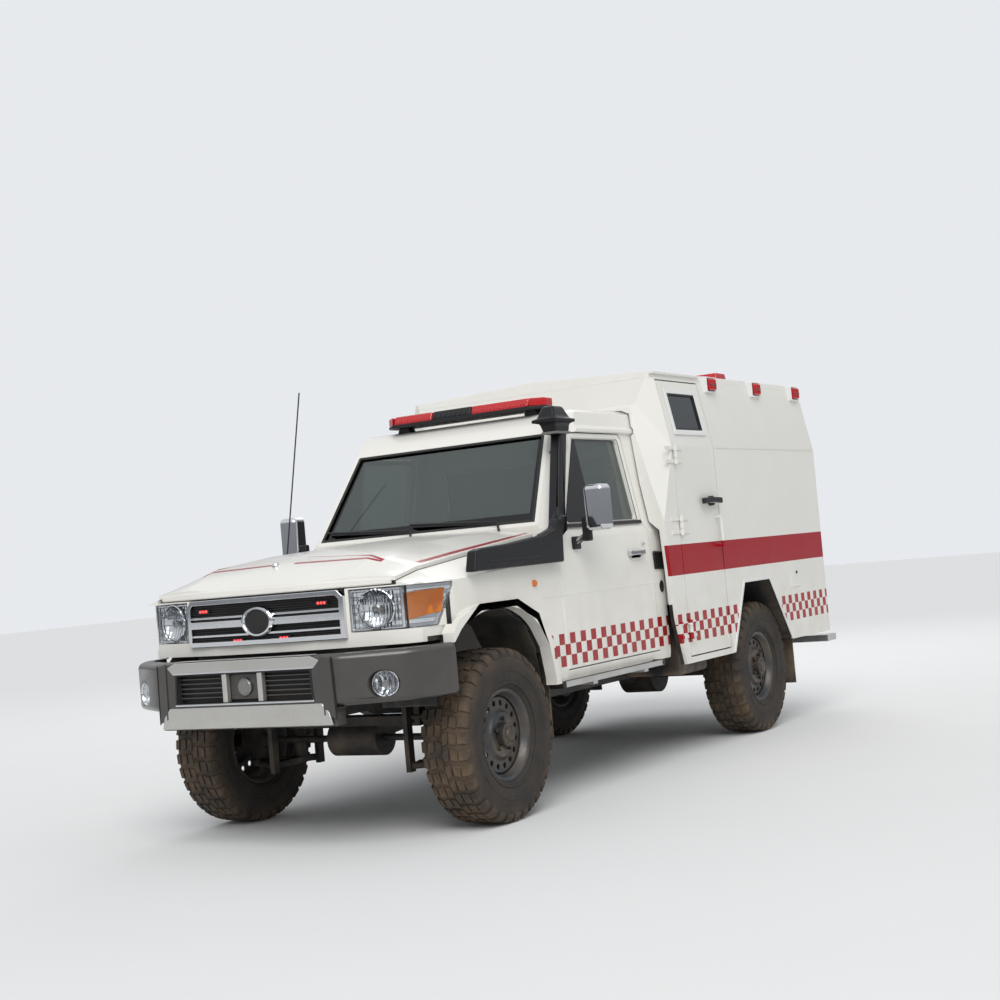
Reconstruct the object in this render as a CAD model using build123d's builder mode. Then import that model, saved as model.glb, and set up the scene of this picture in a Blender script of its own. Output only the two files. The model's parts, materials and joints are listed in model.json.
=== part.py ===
"""Four-wheel-drive ambulance: a single-cab pickup with a tall body module behind the cab.

The frame: +X is the vehicle's left side, +Y points to its rear and +Z up. The origin lies on the
ground under the middle of the whole vehicle. All sizes are millimetres. Stations along the
vehicle are written as distances behind the front axle, and st() turns one into Y. Outlines are
lists of points: station and z in the side view, x and z in the front view, x and station in the
plan view.
"""
from build123d import *
from math import cos, pi, sin
import os

# Overall layout
wheelbase = 3180.0
bumper_reach = 871.0          # bumper's face in front of the front axle
step_reach = 1285.0           # rear step's edge behind the rear axle
axle_y = -(step_reach + wheelbase - bumper_reach) / 2
fit_gap = 0.3                 # between pieces that turn in each other
door_gap = 6.0                # seams round the cab doors and the hood
body_door_gap = 12.0          # seams round the body module's doors

# Wheels
tyre_r = 415.0
tyre_w = 265.0
bead_r = 205.0
lug_count = 26                # shoulder lugs on each side of a tyre
lug_share = 0.66              # part of each pitch that the lug takes
lug_deep = 11.0
lug_reach = 54.0              # how far the lugs run in from the side wall
shoulder_drop = 18.0
rim_w = 178.0
barrel_t = 6.0
disc_set = 45.0               # wheel disc outside the wheel's middle plane
disc_t = 12.0
front_wheel_x = 757.0
rear_wheel_x = 737.0
kingpin_x = 675.0
hub_r = 62.0
spindle_r = 32.0
axle_z = tyre_r

# Ladder frame
rail_x = 370.0
rail_w = 70.0
bumper_t = 70.0
rail_front = bumper_reach - bumper_t
rail_stations = [
    # station, underside, top
    (-rail_front, 600, 705),
    (280, 600, 702),
    (600, 460, 585),
    (wheelbase - 880, 460, 585),
    (wheelbase - 480, 600, 740),
    (wheelbase + 1000, 600, 740),
]
crossmembers = [
    # station, underside, top
    (101 - rail_front, 620, 690),
    (1330, 556, 585),
    (wheelbase - 930, 555, 585),
    (wheelbase - 420, 640, 710),
    (wheelbase + 920, 640, 720),
]
crossmember_w = 80.0
cab_mount_stations = [830, 1740]
body_mount_stations = [wheelbase - 380, wheelbase + 320, wheelbase + 900]

# Cab
sill_z = 600.0
cab_front = 660.0
cab_rear = 1880.0
cab_x = 848.0
cab_floor = 660.0
roof_z = 2048.0
gutter_z = roof_z - 143                  # middle of the rain gutter
screen_top_z = roof_z - 133
door_top_z = roof_z - 155
window_top_z = roof_z - 186
cab_section = [(0, sill_z), (842, sill_z), (cab_x, 640), (cab_x, 1100), (836, 1330), (812, 1385), (722, gutter_z - 15),
               (738, gutter_z), (738, gutter_z + 15), (722, gutter_z + 35), (708, roof_z - 33), (660, roof_z - 12), (0, roof_z)]
cab_inner = [(0, cab_floor), (790, cab_floor), (791, 1100), (779, 1330), (770, 1372), (680, gutter_z - 29),
             (672, gutter_z + 45), (630, roof_z - 58), (0, roof_z - 44)]
screen_low = (700, 1405)
screen_high = (1052, screen_top_z)
screen_half_low = 716.0
screen_half_high = 638.0
screen_border = 24.0
cowl_z = 1338.0
cab_side = [(cab_front, sill_z), (cab_front, cowl_z), (694, cowl_z), screen_low, screen_high, (1120, roof_z - 73),
            (1240, roof_z - 22), (1390, roof_z), (cab_rear, roof_z), (cab_rear, sill_z)]
cab_side_inner = [(702, cab_floor), (702, 1312), (752, 1390), (1088, roof_z - 170), (1160, roof_z - 116),
                  (1270, roof_z - 68),
                  (1400, roof_z - 44), (cab_rear - 45, roof_z - 44), (cab_rear - 45, cab_floor)]
pillar_plan = [
    # z, x and station of the chamfer's front edge, x and station of its side edge
    (1385, 728, 686, 809, 786),
    (screen_top_z, 645, 1056, 712, 1150),
    (roof_z + 27, 620, 1168, 692, 1262),
]
pillar_t = 38.0
rear_window = (560, 1480, roof_z - 258)          # half width, low z, high z
glass_t = 6.0

# Cab doors
door_front = 672.0
door_low = 655.0
door_outline = [(door_front, door_low), (door_front, 1335), (738, 1380), (1104, door_top_z), (1690, door_top_z),
                (1714, door_top_z - 27),
                (1716, 1400), (1742, 1330), (1742, door_low)]
window_outline = [(842, 1405), (1144, window_top_z), (1660, window_top_z), (1668, 1405)]
door_pin_x = 838.0
door_pin_station = 680.0
door_pin_r = 6.0
door_pin_deep = 34.0

mirror_inner = 948.0
mirror_reach = 1065.0

# Front body
fender_t = 24.0
fender_rear = door_front - door_gap
flare_x = 905.0
hood_edge_x = 716.0
hood_rear = 655.0
hood_t = 18.0
hood_hinge = (670, 1385)                 # station and z of the hinge's axis
hood_hinge_x = 440.0
nose_low = 908.0
nose_high = 1176.0
lamp_low = 974.0
lamp_high = 1170.0
lamp_inner_x = 486.0
grille_slots = [
    # underside, top
    (968, 998),
    (1016, 1046),
    (1084, 1112),
    (1130, 1160),
]
front_sections = [
    # station, z of the fender's outer shoulder, z of the hood's edge, z of the hood's middle
    (-735, 1150, 1200, 1204),
    (-610, 1158, 1212, 1262),
    (-430, 1166, 1250, 1335),
    (0, 1190, 1296, 1378),
    (hood_rear, 1232, 1364, 1412),
]
bulge_x = 470.0
nose_plan = [(0, -705), (300, -694), (480, -660), (740, -600), (800, -545), (cab_x, -330)]
arch_z = 1016.0
arch_outline = [(-520, 450), (-520, 830), (-385, 946), (-200, arch_z), (120, arch_z), (300, 936), (405, 795),
                (440, 640), (440, 450)]

# Snorkel's air head
snorkel_head = [
    # z, inner x, outer x, front, rear
    (roof_z - 162, 704, 786, 872, 1022),
    (roof_z - 112, 700, 792, 846, 1024),
    (roof_z - 106, 674, 818, 820, 1032),
    (roof_z - 90, 674, 818, 820, 1032),
    (roof_z - 84, 690, 802, 834, 1018),
    (roof_z - 18, 712, 780, 872, 980),
]

# Bumper
bumper_plan = [(0, -bumper_reach), (480, -bumper_reach), (560, 21 - bumper_reach), (800, 171 - bumper_reach),
               (885, 291 - bumper_reach), (flare_x, 423 - bumper_reach)]
bumper_plan_inner = [(flare_x - 60, 423 - bumper_reach), (830, 326 - bumper_reach), (756, 226 - bumper_reach),
                     (528, 87 - bumper_reach), (470, -rail_front), (0, -rail_front)]
bumper_high = 895.0
bumper_low = 578.0
bumper_end_low = 662.0
bumper_break_x = 516.0
intake = (400, 700, 838)                 # half width, low z, high z
fog_x = 712.0
fog_z = 746.0
fog_r = 62.0

# Body module
box_x = 923.0
box_wall = 40.0
box_front = cab_rear + 25
box_rear = wheelbase + 1101
skirt_z = 550.0
box_rise = 250.0                         # module's crown above the cab's roof
box_camber = 36.0
box_crown_z = roof_z + box_rise
box_top_z = box_crown_z - box_camber
roof_split_z = box_top_z - 36
box_top_x = 838.0
fold_z = box_top_z - 452
floor_low = 900.0
floor_high = 945.0
box_section = [(0, skirt_z), (box_x, skirt_z), (box_x, fold_z), (box_top_x, box_top_z), (0, box_crown_z)]
box_inner = [(0, floor_low), (box_x - box_wall, floor_low), (box_x - box_wall, fold_z - 4),
             (box_top_x - 34, roof_split_z), (0, box_crown_z - box_wall)]
seal_gap = 9.0                           # between the cab and the module's portal
portal_inner = [(0, 500), (box_x - box_wall, 500), (box_x - box_wall, 1330), (826, 1385), (731, gutter_z - 17), (747, gutter_z - 4),
                (747, gutter_z + 18), (731, gutter_z + 40), (717, roof_z - 27), (664, roof_z - 3), (0, roof_z + seal_gap)]
portal_side = [(box_front + 20, skirt_z), (box_front - 65, 820), (box_front - 83, 1098), (box_front - 111, 1376),
               (box_front - 100, 1614), (box_front - 49, screen_top_z + 1), (box_front - 12, roof_z + 10),
               (box_front + 20, roof_z + 30),
               (box_front + 83, box_crown_z + 12), (box_rear, box_crown_z + 12), (box_rear, skirt_z)]
cavity_side = [(box_front + box_wall, floor_low), (box_front + box_wall, fold_z - 90), (box_front + 126, box_top_z),
               (box_front + 126, box_crown_z), (box_rear - box_wall, box_crown_z), (box_rear - box_wall, floor_low)]
fold_corner = (box_x, box_front + 80, fold_z - 2)
face_top = (810, box_front + 70, box_top_z)
face_low = (741, box_front + 20, roof_z + 30)
rim_middle = (850, box_front - 100, 1614)
rim_low = (box_x, box_front - 111, 1376)
upper_facet = (face_top, face_low, fold_corner)
lower_facets = [(face_low, fold_corner, rim_middle), (fold_corner, rim_middle, rim_low)]
arch_low_z = 500.0
rear_arch_z = floor_high + 35
rear_arch = [(wheelbase - 580, arch_low_z), (wheelbase - 580, skirt_z), (wheelbase - 335, rear_arch_z),
             (wheelbase + 95, rear_arch_z), (wheelbase + 410, skirt_z), (wheelbase + 410, arch_low_z)]
wheel_box_wall = 30.0
wheel_box_x = 560.0
side_door = (box_front + 90, box_front + 660, skirt_z + 42, box_top_z - 57)      # front, rear, low z, high z
window_front = box_front + 172
window_rear = box_front + 572
side_window = [(window_front, fold_z + 89), (window_front, fold_z + 329), (window_rear, fold_z + 329),
               (window_rear, fold_z + 89)]
side_hinge_z = [745, 1348, fold_z - 50]
rear_door_half = 800.0
rear_door_low = 955.0
rear_door_high = roof_split_z - 46
rear_door_t = 45.0
rear_hinge_z = [1080, 1420, fold_z - 70]
rear_glass = (230, 640, fold_z - 250, fold_z + 150)      # near x, far x, low z, high z
hinge_pin_r = 7.0
hinge_barrel_r = 12.0
hinge_tall = 112.0
hinge_out = 14.0                         # hinge axis outside the skin
leaf_t = 6.0
leaf_w = 50.0
strap_w = 108.0                          # long straps of the side door's hinges


def st(behind_front_axle):
    """Y of a station given as its distance behind the front axle."""
    return axle_y + behind_front_axle


def whole(half):
    """Closed outline made of a half outline and its mirror image."""
    return half + [(-x, z) for x, z in reversed(half) if x > 0]


def side_slab(points, x_low, x_high, mode=Mode.ADD, rounding=0.0):
    """Extrudes a side view outline across the vehicle."""
    with BuildSketch(Plane.YZ.offset(x_low)) as profile:
        with BuildLine():
            Polyline(*[(st(s), z) for s, z in points], close=True)
        make_face()
        if rounding:
            fillet(profile.vertices(), rounding)
    extrude(profile.sketch, amount=x_high - x_low, mode=mode)


def front_slab(points, s_low, s_high, mode=Mode.ADD):
    """Extrudes a front view outline between two stations."""
    with BuildSketch(Plane.XZ.offset(-st(s_low))) as profile:
        with BuildLine():
            Polyline(*points, close=True)
        make_face()
    extrude(profile.sketch, amount=s_low - s_high, mode=mode)


def plan_slab(points, z_low, z_high, mode=Mode.ADD):
    """Extrudes a plan view outline between two heights."""
    with BuildSketch(Plane.XY.offset(z_low)) as profile:
        with BuildLine():
            Polyline(*[(x, st(s)) for x, s in points], close=True)
        make_face()
    extrude(profile.sketch, amount=z_high - z_low, mode=mode)


def block(x, s, z, mode=Mode.ADD):
    """Box between two x, two stations and two heights."""
    with Locations((sum(x) / 2, st(sum(s) / 2), sum(z) / 2)):
        Box(x[1] - x[0], s[1] - s[0], z[1] - z[0], mode=mode)


def rod(start, end, radius, mode=Mode.ADD):
    """Round bar between two points given as x, station and z."""
    near = Vector(start[0], st(start[1]), start[2])
    far = Vector(end[0], st(end[1]), end[2])
    with BuildSketch(Plane(origin=near, z_dir=far - near)) as section:
        Circle(radius)
    extrude(section.sketch, amount=(far - near).length, mode=mode)


def pillar_prism(inset, mode=Mode.ADD):
    """Space outside the chamfered windscreen posts, moved inward by the inset."""
    rings = []
    for z, front_x, front_s, side_x, side_s in pillar_plan:
        run = ((side_x - front_x) ** 2 + (side_s - front_s) ** 2) ** 0.5
        along_x = (side_x - front_x) / run
        along_s = (side_s - front_s) / run
        near_x = front_x - 40 * along_x - inset * along_s
        near_s = front_s - 40 * along_s + inset * along_x
        far_x = side_x + 90 * along_x - inset * along_s
        far_s = side_s + 90 * along_s + inset * along_x
        with BuildSketch(Plane.XY.offset(z)) as ring:
            with BuildLine():
                Polyline((near_x, st(near_s)), (far_x, st(far_s)), (far_x + 120, st(near_s - 100)), close=True)
            make_face()
        rings.append(ring.sketch)
    both = [loft(rings, ruled=True, mode=Mode.PRIVATE)]
    both.append(mirror(both[0], about=Plane.YZ, mode=Mode.PRIVATE))
    for prism in both:
        add(prism, mode=mode)


def cut_behind(corners, inset=0.0):
    """Keeps what lies behind the plane through three corners given as x, station and z."""
    a, b, c = [Vector(x, st(s), z) for x, s, z in corners]
    outward = (b - a).cross(c - a).normalized()
    if outward.Y > 0:
        outward = outward * -1
    split(bisect_by=Plane(origin=a - outward * inset, z_dir=outward), keep=Keep.BOTTOM)


def hinge_fixed(x, s, z):
    """Pin between the two outer barrels of a hinge."""
    barrel = hinge_tall / 3 - 2
    with Locations((x, st(s), z)):
        Cylinder(hinge_pin_r, hinge_tall)
    with Locations((x, st(s), z - hinge_tall / 3 - 1), (x, st(s), z + hinge_tall / 3 + 1)):
        Cylinder(hinge_barrel_r, barrel)


def hinge_moving(x, s, z):
    """Middle barrel of a hinge; the bore is cut once the leaf is on."""
    with Locations((x, st(s), z)):
        Cylinder(hinge_barrel_r, hinge_tall / 3 - 2)


def hinge_bore(x, s, z):
    """Bore for the hinge's pin."""
    with Locations((x, st(s), z)):
        Cylinder(hinge_pin_r + fit_gap, hinge_tall, mode=Mode.SUBTRACT)


def save(piece, name):
    """Labels a finished piece and writes it as its own file."""
    piece.part.label = name
    export_step(piece.part, f"parts/{name}.step")


def save_pair(piece, name):
    """Writes a piece of the left side and its mirror image."""
    save(piece, f"{name}_left")
    with BuildPart() as opposite:
        mirror(piece.part, about=Plane.YZ)
    save(opposite, f"{name}_right")


os.makedirs("parts", exist_ok=True)

# Chassis frame
rail_outline = [(s, low) for s, low, high in rail_stations]
rail_outline += [(s, high) for s, low, high in reversed(rail_stations)]
rail_inner = rail_x - rail_w / 2
rail_outer = rail_x + rail_w / 2
with BuildPart() as chassis_frame:
    side_slab(rail_outline, rail_inner, rail_outer)
    for s in cab_mount_stations:
        block((rail_inner, 640), (s - 35, s + 35), (555, sill_z))
    block((rail_inner, rail_outer), (box_front + 105, box_front + 185), (560, floor_low))
    for s in body_mount_stations:
        block((rail_inner, rail_outer), (s - 40, s + 40), (720, floor_low))
    mirror(about=Plane.YZ)
    for s, low, high in crossmembers:
        block((-rail_x, rail_x), (s - crossmember_w / 2, s + crossmember_w / 2), (low, high))
save(chassis_frame, "chassis_frame")

# Cab shell
seam = door_gap
opening_outline = [(door_front - seam, door_low - seam), (door_front - seam, 1339), (733, 1386),
                   (1101, door_top_z + seam), (1700, door_top_z + seam), (1727, door_top_z - 25), (1728, 1400),
                   (1748, 1332), (1748, door_low - seam)]
screen_hole_z = (1430, screen_top_z - 23)
screen_hole = [(0, screen_hole_z[0]), (screen_half_low - screen_border, screen_hole_z[0]),
               (screen_half_high - screen_border, screen_hole_z[1]), (0, screen_hole_z[1])]
with BuildPart() as pillar_outside:
    pillar_prism(0)
with BuildPart() as cabin_form:
    front_slab(whole(cab_inner), cab_front, cab_rear)
    pillar_prism(pillar_t, mode=Mode.SUBTRACT)
with BuildPart() as cab_room:
    add(cabin_form.part)
    side_slab(cab_side_inner, -cab_x, cab_x, mode=Mode.INTERSECT)
with BuildPart() as doorways:
    front_slab([(770, sill_z), (770, 1320), (698, 1372), (620, door_top_z + 17), (1000, door_top_z + 17), (1000, sill_z)], cab_front,
               cab_rear)
    side_slab(opening_outline, 600, 1000, mode=Mode.INTERSECT)
    mirror(about=Plane.YZ)
with BuildPart() as cab_shell:
    front_slab(whole(cab_section), cab_front, cab_rear)
    side_slab(cab_side, -cab_x, cab_x, mode=Mode.INTERSECT)
    add(pillar_outside.part, mode=Mode.SUBTRACT)
    add(cab_room.part, mode=Mode.SUBTRACT)
    add(doorways.part, mode=Mode.SUBTRACT)
    for x_low, x_high in ((cab_x - fender_t, cab_x + 1), (-cab_x - 1, fender_t - cab_x)):
        block((x_low, x_high), (cab_front - 1, fender_rear), (sill_z - 1, 1400), mode=Mode.SUBTRACT)
    front_slab(whole(screen_hole), cab_front - 10, 1120, mode=Mode.SUBTRACT)
    block((-rear_window[0], rear_window[0]), (1800, cab_rear + 1), rear_window[1:], mode=Mode.SUBTRACT)
    for x in (-hood_hinge_x, hood_hinge_x):
        for lug in (-33, 33):
            block((x + lug - 11, x + lug + 11), (cab_front, cab_front + 18), (cowl_z - 2, hood_hinge[1] + 9))
        rod((x - 33, hood_hinge[0], hood_hinge[1]), (x + 33, hood_hinge[0], hood_hinge[1]), 5)
    for x in (-door_pin_x, door_pin_x):
        with Locations((x, st(door_pin_station), door_low - door_pin_deep / 2)):
            Cylinder(door_pin_r + fit_gap, door_pin_deep, mode=Mode.SUBTRACT)
save(cab_shell, "cab_shell")

# Cab doors, each with its mirror and its pivot pin in the sill
with BuildPart() as cab_door:
    front_slab(whole(cab_section), cab_front, cab_rear)
    side_slab(door_outline, 600, cab_x, mode=Mode.INTERSECT)
    add(pillar_outside.part, mode=Mode.SUBTRACT)
    add(cabin_form.part, mode=Mode.SUBTRACT)
    side_slab(window_outline, 500, cab_x + 10, mode=Mode.SUBTRACT, rounding=24)
    block((590, 777), (door_front - 1, 1800), (door_low - 1, cab_floor + 10), mode=Mode.SUBTRACT)
    with BuildSketch(Plane.XY.offset(door_low)) as corner:
        with Locations((cab_x, st(door_front))):
            Rectangle(16, 16, rotation=45)
    extrude(corner.sketch, amount=700, mode=Mode.SUBTRACT)
    with Locations((door_pin_x, st(door_pin_station), door_low - door_pin_deep / 2 + 10)):
        Cylinder(door_pin_r, door_pin_deep + 16)
    rod((835, 870, 1290), (915, 860, 1330), 16)
    rod((915, 860, 1320), (975, 850, 1400), 16)
    block((mirror_inner, mirror_reach), (800, 890), (1361, 1573))
save_pair(cab_door, "cab_door")
with BuildPart() as cab_door_glass:
    front_slab([(812 - 18, 1385), (722 - 18, gutter_z - 15), (722 - 24, gutter_z - 15), (812 - 24, 1385)],
               cab_front, cab_rear)
    side_slab(window_outline, 500, cab_x, mode=Mode.INTERSECT, rounding=24)
save_pair(cab_door_glass, "cab_door_glass")

# Fenders with the nose panel and the flares
nose_ring = nose_plan + [(cab_x - fender_t, -330), (800 - 22, -530), (728, -574), (474, -632), (300, -664),
                         (0, -675)]
with BuildPart() as front_fenders:
    plan_slab(nose_ring, nose_low, nose_high)
    shoulder = []
    for s, outer_z, edge_z, middle_z in front_sections[1:]:
        with BuildSketch(Plane.XZ.offset(-st(s))) as slice_:
            with BuildLine():
                Polyline((hood_edge_x + seam, edge_z - 20), (hood_edge_x + seam, edge_z - 44), (cab_x, outer_z - 24),
                         (cab_x, outer_z), close=True)
            make_face()
        shoulder.append(slice_.sketch)
    loft(shoulder, ruled=True)
    block((800, 900), (-620, -530), (1100, 1300), mode=Mode.SUBTRACT)
    side_slab([(-330, nose_low - 70), (-330, 1160), (0, 1180), (hood_rear, 1220), (fender_rear, 1220),
               (fender_rear, sill_z), (420, sill_z), (420, 800), (-330, 800)], cab_x - fender_t, cab_x)
    side_slab([(-448, 800), (-448, 935), (-390, 992), (-215, arch_z + 34), (135, arch_z + 34), (326, 966),
               (452, 812), (492, sill_z), (430, sill_z), (-400, 800)], cab_x - 13, flare_x)
    side_slab(arch_outline, 700, flare_x + 5, mode=Mode.SUBTRACT)
    block((-1, lamp_inner_x - 16), (-760, -500), (949, 1181), mode=Mode.SUBTRACT)
    block((lamp_inner_x, 870), (-760, -340), (lamp_low, lamp_high), mode=Mode.SUBTRACT)
    mirror(about=Plane.YZ)
save(front_fenders, "front_fenders")

# Hood
with BuildPart() as hood:
    slices = []
    for s, outer_z, edge_z, middle_z in front_sections:
        with BuildSketch(Plane.XZ.offset(-st(s))) as slice_:
            with BuildLine():
                Polyline((0, middle_z), (bulge_x, middle_z - 14), (hood_edge_x, edge_z),
                         (hood_edge_x, edge_z - hood_t), (bulge_x, middle_z - 14 - hood_t), (0, middle_z - hood_t),
                         close=True)
            make_face()
        slices.append(slice_.sketch)
    loft(slices, ruled=True)
    plan_slab([(-1, -700), (300, -690), (480, -656), (hood_edge_x, -604), (hood_edge_x, 2000), (-1, 2000)],
              1100, 1500, mode=Mode.INTERSECT)
    x = hood_hinge_x
    block((x - 45, x + 45), (hood_rear - 30, hood_rear - 6), (1340, hood_hinge[1] + 3))
    rod((x - 20, hood_hinge[0], hood_hinge[1]), (x + 20, hood_hinge[0], hood_hinge[1]), 9)
    block((x - 20, x + 20), (hood_rear - 10, hood_hinge[0]), (hood_hinge[1] - 9, hood_hinge[1]))
    rod((x - 20, hood_hinge[0], hood_hinge[1]), (x + 20, hood_hinge[0], hood_hinge[1]), 5 + fit_gap,
        mode=Mode.SUBTRACT)
    mirror(about=Plane.YZ)
save(hood, "hood")

# Grille
with BuildPart() as grille:
    plan_slab([(0, -718), (300, -706), (470, -676), (470, -640), (300, -668), (0, -680)], 949, nose_high)
    for low, high in grille_slots:
        plan_slab([(0, -730), (448, -700), (448, -660), (300, -684), (0, -696)], low, high, mode=Mode.SUBTRACT)
    mirror(about=Plane.YZ)
save(grille, "grille")

# Headlamps with their turn lamps, and the fog lamps
with BuildPart() as front_lamps:
    plan_slab([(300, -694), (480, -660), (740, -600), (800, -545), (cab_x, -330), (cab_x - fender_t, -330),
               (778, -530), (728, -574), (474, -632), (300, -664)], lamp_low, lamp_high)
    block((lamp_inner_x, 870), (-760, -340), (lamp_low, lamp_high), mode=Mode.INTERSECT)
    mirror(about=Plane.YZ)
    for x in (-fog_x, fog_x):
        rod((x, 123 - bumper_reach, fog_z), (x, 171 - bumper_reach, fog_z), fog_r)
save(front_lamps, "front_lamps")

# Front bumper
with BuildPart() as front_bumper:
    plan_slab(bumper_plan + bumper_plan_inner, bumper_end_low, bumper_high)
    plan_slab([(0, 8 - bumper_reach), (480, 8 - bumper_reach), (bumper_break_x, 18 - bumper_reach),
               (bumper_break_x, 81 - bumper_reach), (470, -rail_front), (0, -rail_front)],
              bumper_low, bumper_end_low)
    block((-1, intake[0]), (-bumper_reach - 30, 41 - bumper_reach), intake[1:], mode=Mode.SUBTRACT)
    rod((fog_x, -bumper_reach - 30, fog_z), (fog_x, 270 - bumper_reach, fog_z), fog_r + fit_gap,
        mode=Mode.SUBTRACT)
    mirror(about=Plane.YZ)
save(front_bumper, "front_bumper")

# Fixed glass of the cab and of the body module's right side
with BuildPart() as fixed_glass:
    glass_low = (screen_low[0] + 14, screen_low[1])
    glass_high = (screen_high[0] + 14, screen_high[1])
    side_slab([glass_low, glass_high, (glass_high[0] + glass_t, glass_high[1]),
               (glass_low[0] + glass_t, glass_low[1])], -cab_x, cab_x)
    front_slab(whole(screen_hole), cab_front, 1120, mode=Mode.INTERSECT)
    block((-rear_window[0], rear_window[0]), (1855, 1855 + glass_t), rear_window[1:])
    front_slab([(4 - box_x, fold_z), (4 - box_top_x, box_top_z), (4 - box_top_x + glass_t, box_top_z),
                (4 - box_x + glass_t, fold_z)], side_window[0][0], side_window[2][0])
    block((-2 * box_x, 2 * box_x), (500, window_rear), (1400, side_window[1][1]), mode=Mode.INTERSECT)
    block((-box_x, -box_top_x - 56), (cab_rear, window_rear), (fold_z - 110, side_window[0][1]), mode=Mode.SUBTRACT)
save(fixed_glass, "fixed_glass")

# Wipers on the windscreen
glass_run = (screen_high[0] - screen_low[0], screen_high[1] - screen_low[1])


def on_screen(x, share, proud):
    """Point on the windscreen: x, share of its height, distance in front of the glass."""
    length = (glass_run[0] ** 2 + glass_run[1] ** 2) ** 0.5
    s = screen_low[0] + glass_run[0] * share - proud * glass_run[1] / length
    z = screen_low[1] + glass_run[1] * share + proud * glass_run[0] / length
    return x, s, z


with BuildPart() as wipers:
    for pivot, tip in ((500, -80), (-60, -640)):
        rod((pivot, 682, cowl_z), (pivot, 682, cowl_z + 38), 9)
        rod((pivot, 682, cowl_z + 32), on_screen(pivot - 20, 0.05, 20), 6)
        rod(on_screen(pivot - 20, 0.05, 20), on_screen(tip, 0.12, 12), 6)
        rod(on_screen(pivot - 150, 0.085, 7), on_screen(tip - 20, 0.13, 7), 6)
save(wipers, "wipers")

# Snorkel: a low duct on the fender, a flat tube beside the windscreen post and an air head
with BuildPart() as snorkel:
    side_slab([(-224, 1200), (-180, 1262), (300, 1312), (560, 1380), (610, 1432), (700, 1432), (650, 1330),
               (640, 1205)], cab_x, 902)
    tube = []
    for z, s_low, s_high, x_low, x_high in ((1380, 612, 690, 828, 896), (gutter_z, 940, 1020, 710, 776)):
        with BuildSketch(Plane.XY.offset(z)) as ring:
            with Locations(((x_low + x_high) / 2, st((s_low + s_high) / 2))):
                Rectangle(x_high - x_low, s_high - s_low)
        tube.append(ring.sketch)
    loft(tube, ruled=True)
    head = []
    for z, x_low, x_high, s_low, s_high in snorkel_head:
        with BuildSketch(Plane.XY.offset(z)) as ring:
            with Locations(((x_low + x_high) / 2, st((s_low + s_high) / 2))):
                Rectangle(x_high - x_low, s_high - s_low)
        head.append(ring.sketch)
    for lower, upper in zip(head, head[1:]):
        loft([lower, upper], ruled=True)
    rod((760, 925, gutter_z - 115), (672, 992, gutter_z - 115), 9)
    add(cab_shell.part, mode=Mode.SUBTRACT)
save(snorkel, "snorkel")

# Light bars on the cab and on the body module
cab_bar = (537, 1165, 1375, roof_z + 10, roof_z + 72)      # half width, front, rear, low z, high z
body_bar = (560, wheelbase + 380, wheelbase + 560, box_crown_z + 15, box_crown_z + 74)
bar_foot_x = 430.0
with BuildPart() as light_bars:
    for half, front, rear, low, high in (cab_bar, body_bar):
        plan_slab([(half, front + 70), (half - 75, front), (75 - half, front), (-half, front + 70),
                   (-half, rear - 50), (75 - half, rear), (half - 75, rear), (half, rear - 50)], low, high)
        for x in (-bar_foot_x, bar_foot_x):
            block((x - 40, x + 40), (front + 75, rear - 75), (low - 90, low))
    front_slab(whole(box_section), box_front, box_rear, mode=Mode.SUBTRACT)
    add(cab_shell.part, mode=Mode.SUBTRACT)
    front_slab(whole(cab_inner), cab_front, cab_rear, mode=Mode.SUBTRACT)
save(light_bars, "light_bars")

# Antenna on the right fender
with BuildPart() as antenna:
    rod((-800, 500, 1260), (-800, 758, 2293), 4)
    rod((-800, 500, 1248), (-800, 500, 1290), 15)
    add(front_fenders.part, mode=Mode.SUBTRACT)
save(antenna, "antenna")

# Running boards and the rear step
board_s = (502, 1670)
rear_step_x = 895.0
with BuildPart() as steps:
    block((690, 900), board_s, (584, 599))
    for s in (900, 1500):
        block((rail_outer, 860), (s, s + 50), (552, 584))
    block((rail_inner, rail_outer), (wheelbase + 920, box_rear + 39), (515, 548))
    block((rail_inner, rail_outer), (wheelbase + 920, wheelbase + 1000), (548, 600))
    block((-1, rear_step_x), (box_rear + 19, wheelbase + step_reach), (470, 515))
    mirror(about=Plane.YZ)
save(steps, "steps")

# Mud flaps
with BuildPart() as mud_flaps:
    block((630, cab_x - fender_t), (494, 502), (330, 760))
    block((600, 870), (wheelbase + 510, wheelbase + 518), (250, floor_low))
    mirror(about=Plane.YZ)
save(mud_flaps, "mud_flaps")

# Body module: its outer form with the chamfered front and the portal round the cab's rear
door_cut = [(side_door[0] - 6, side_door[2] - 8), (side_door[0] - 6, side_door[3] + 8),
            (side_door[1] + body_door_gap, side_door[3] + 8), (side_door[1] + body_door_gap, side_door[2] - 8)]
box_half = [(0, skirt_z)] + box_section[1:]
with BuildPart() as upper_form:
    front_slab(box_half, 1700, box_rear)
    side_slab(portal_side, 0, box_x, mode=Mode.INTERSECT)
    cut_behind(upper_facet)
with BuildPart() as lower_form:
    front_slab(box_half, 1700, box_rear)
    side_slab(portal_side, 0, box_x, mode=Mode.INTERSECT)
    for facet in lower_facets:
        cut_behind(facet)
with BuildPart() as box_room:
    front_slab(box_inner, box_front, box_rear)
    side_slab(cavity_side, 0, box_x, mode=Mode.INTERSECT)
    cut_behind(upper_facet, inset=box_wall)
    mirror(about=Plane.YZ)
with BuildPart() as box_form:
    add(upper_form.part)
    add(lower_form.part)
    front_slab([(0, 500)] + portal_inner[1:], 1600, box_front, mode=Mode.SUBTRACT)
    mirror(about=Plane.YZ)

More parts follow.
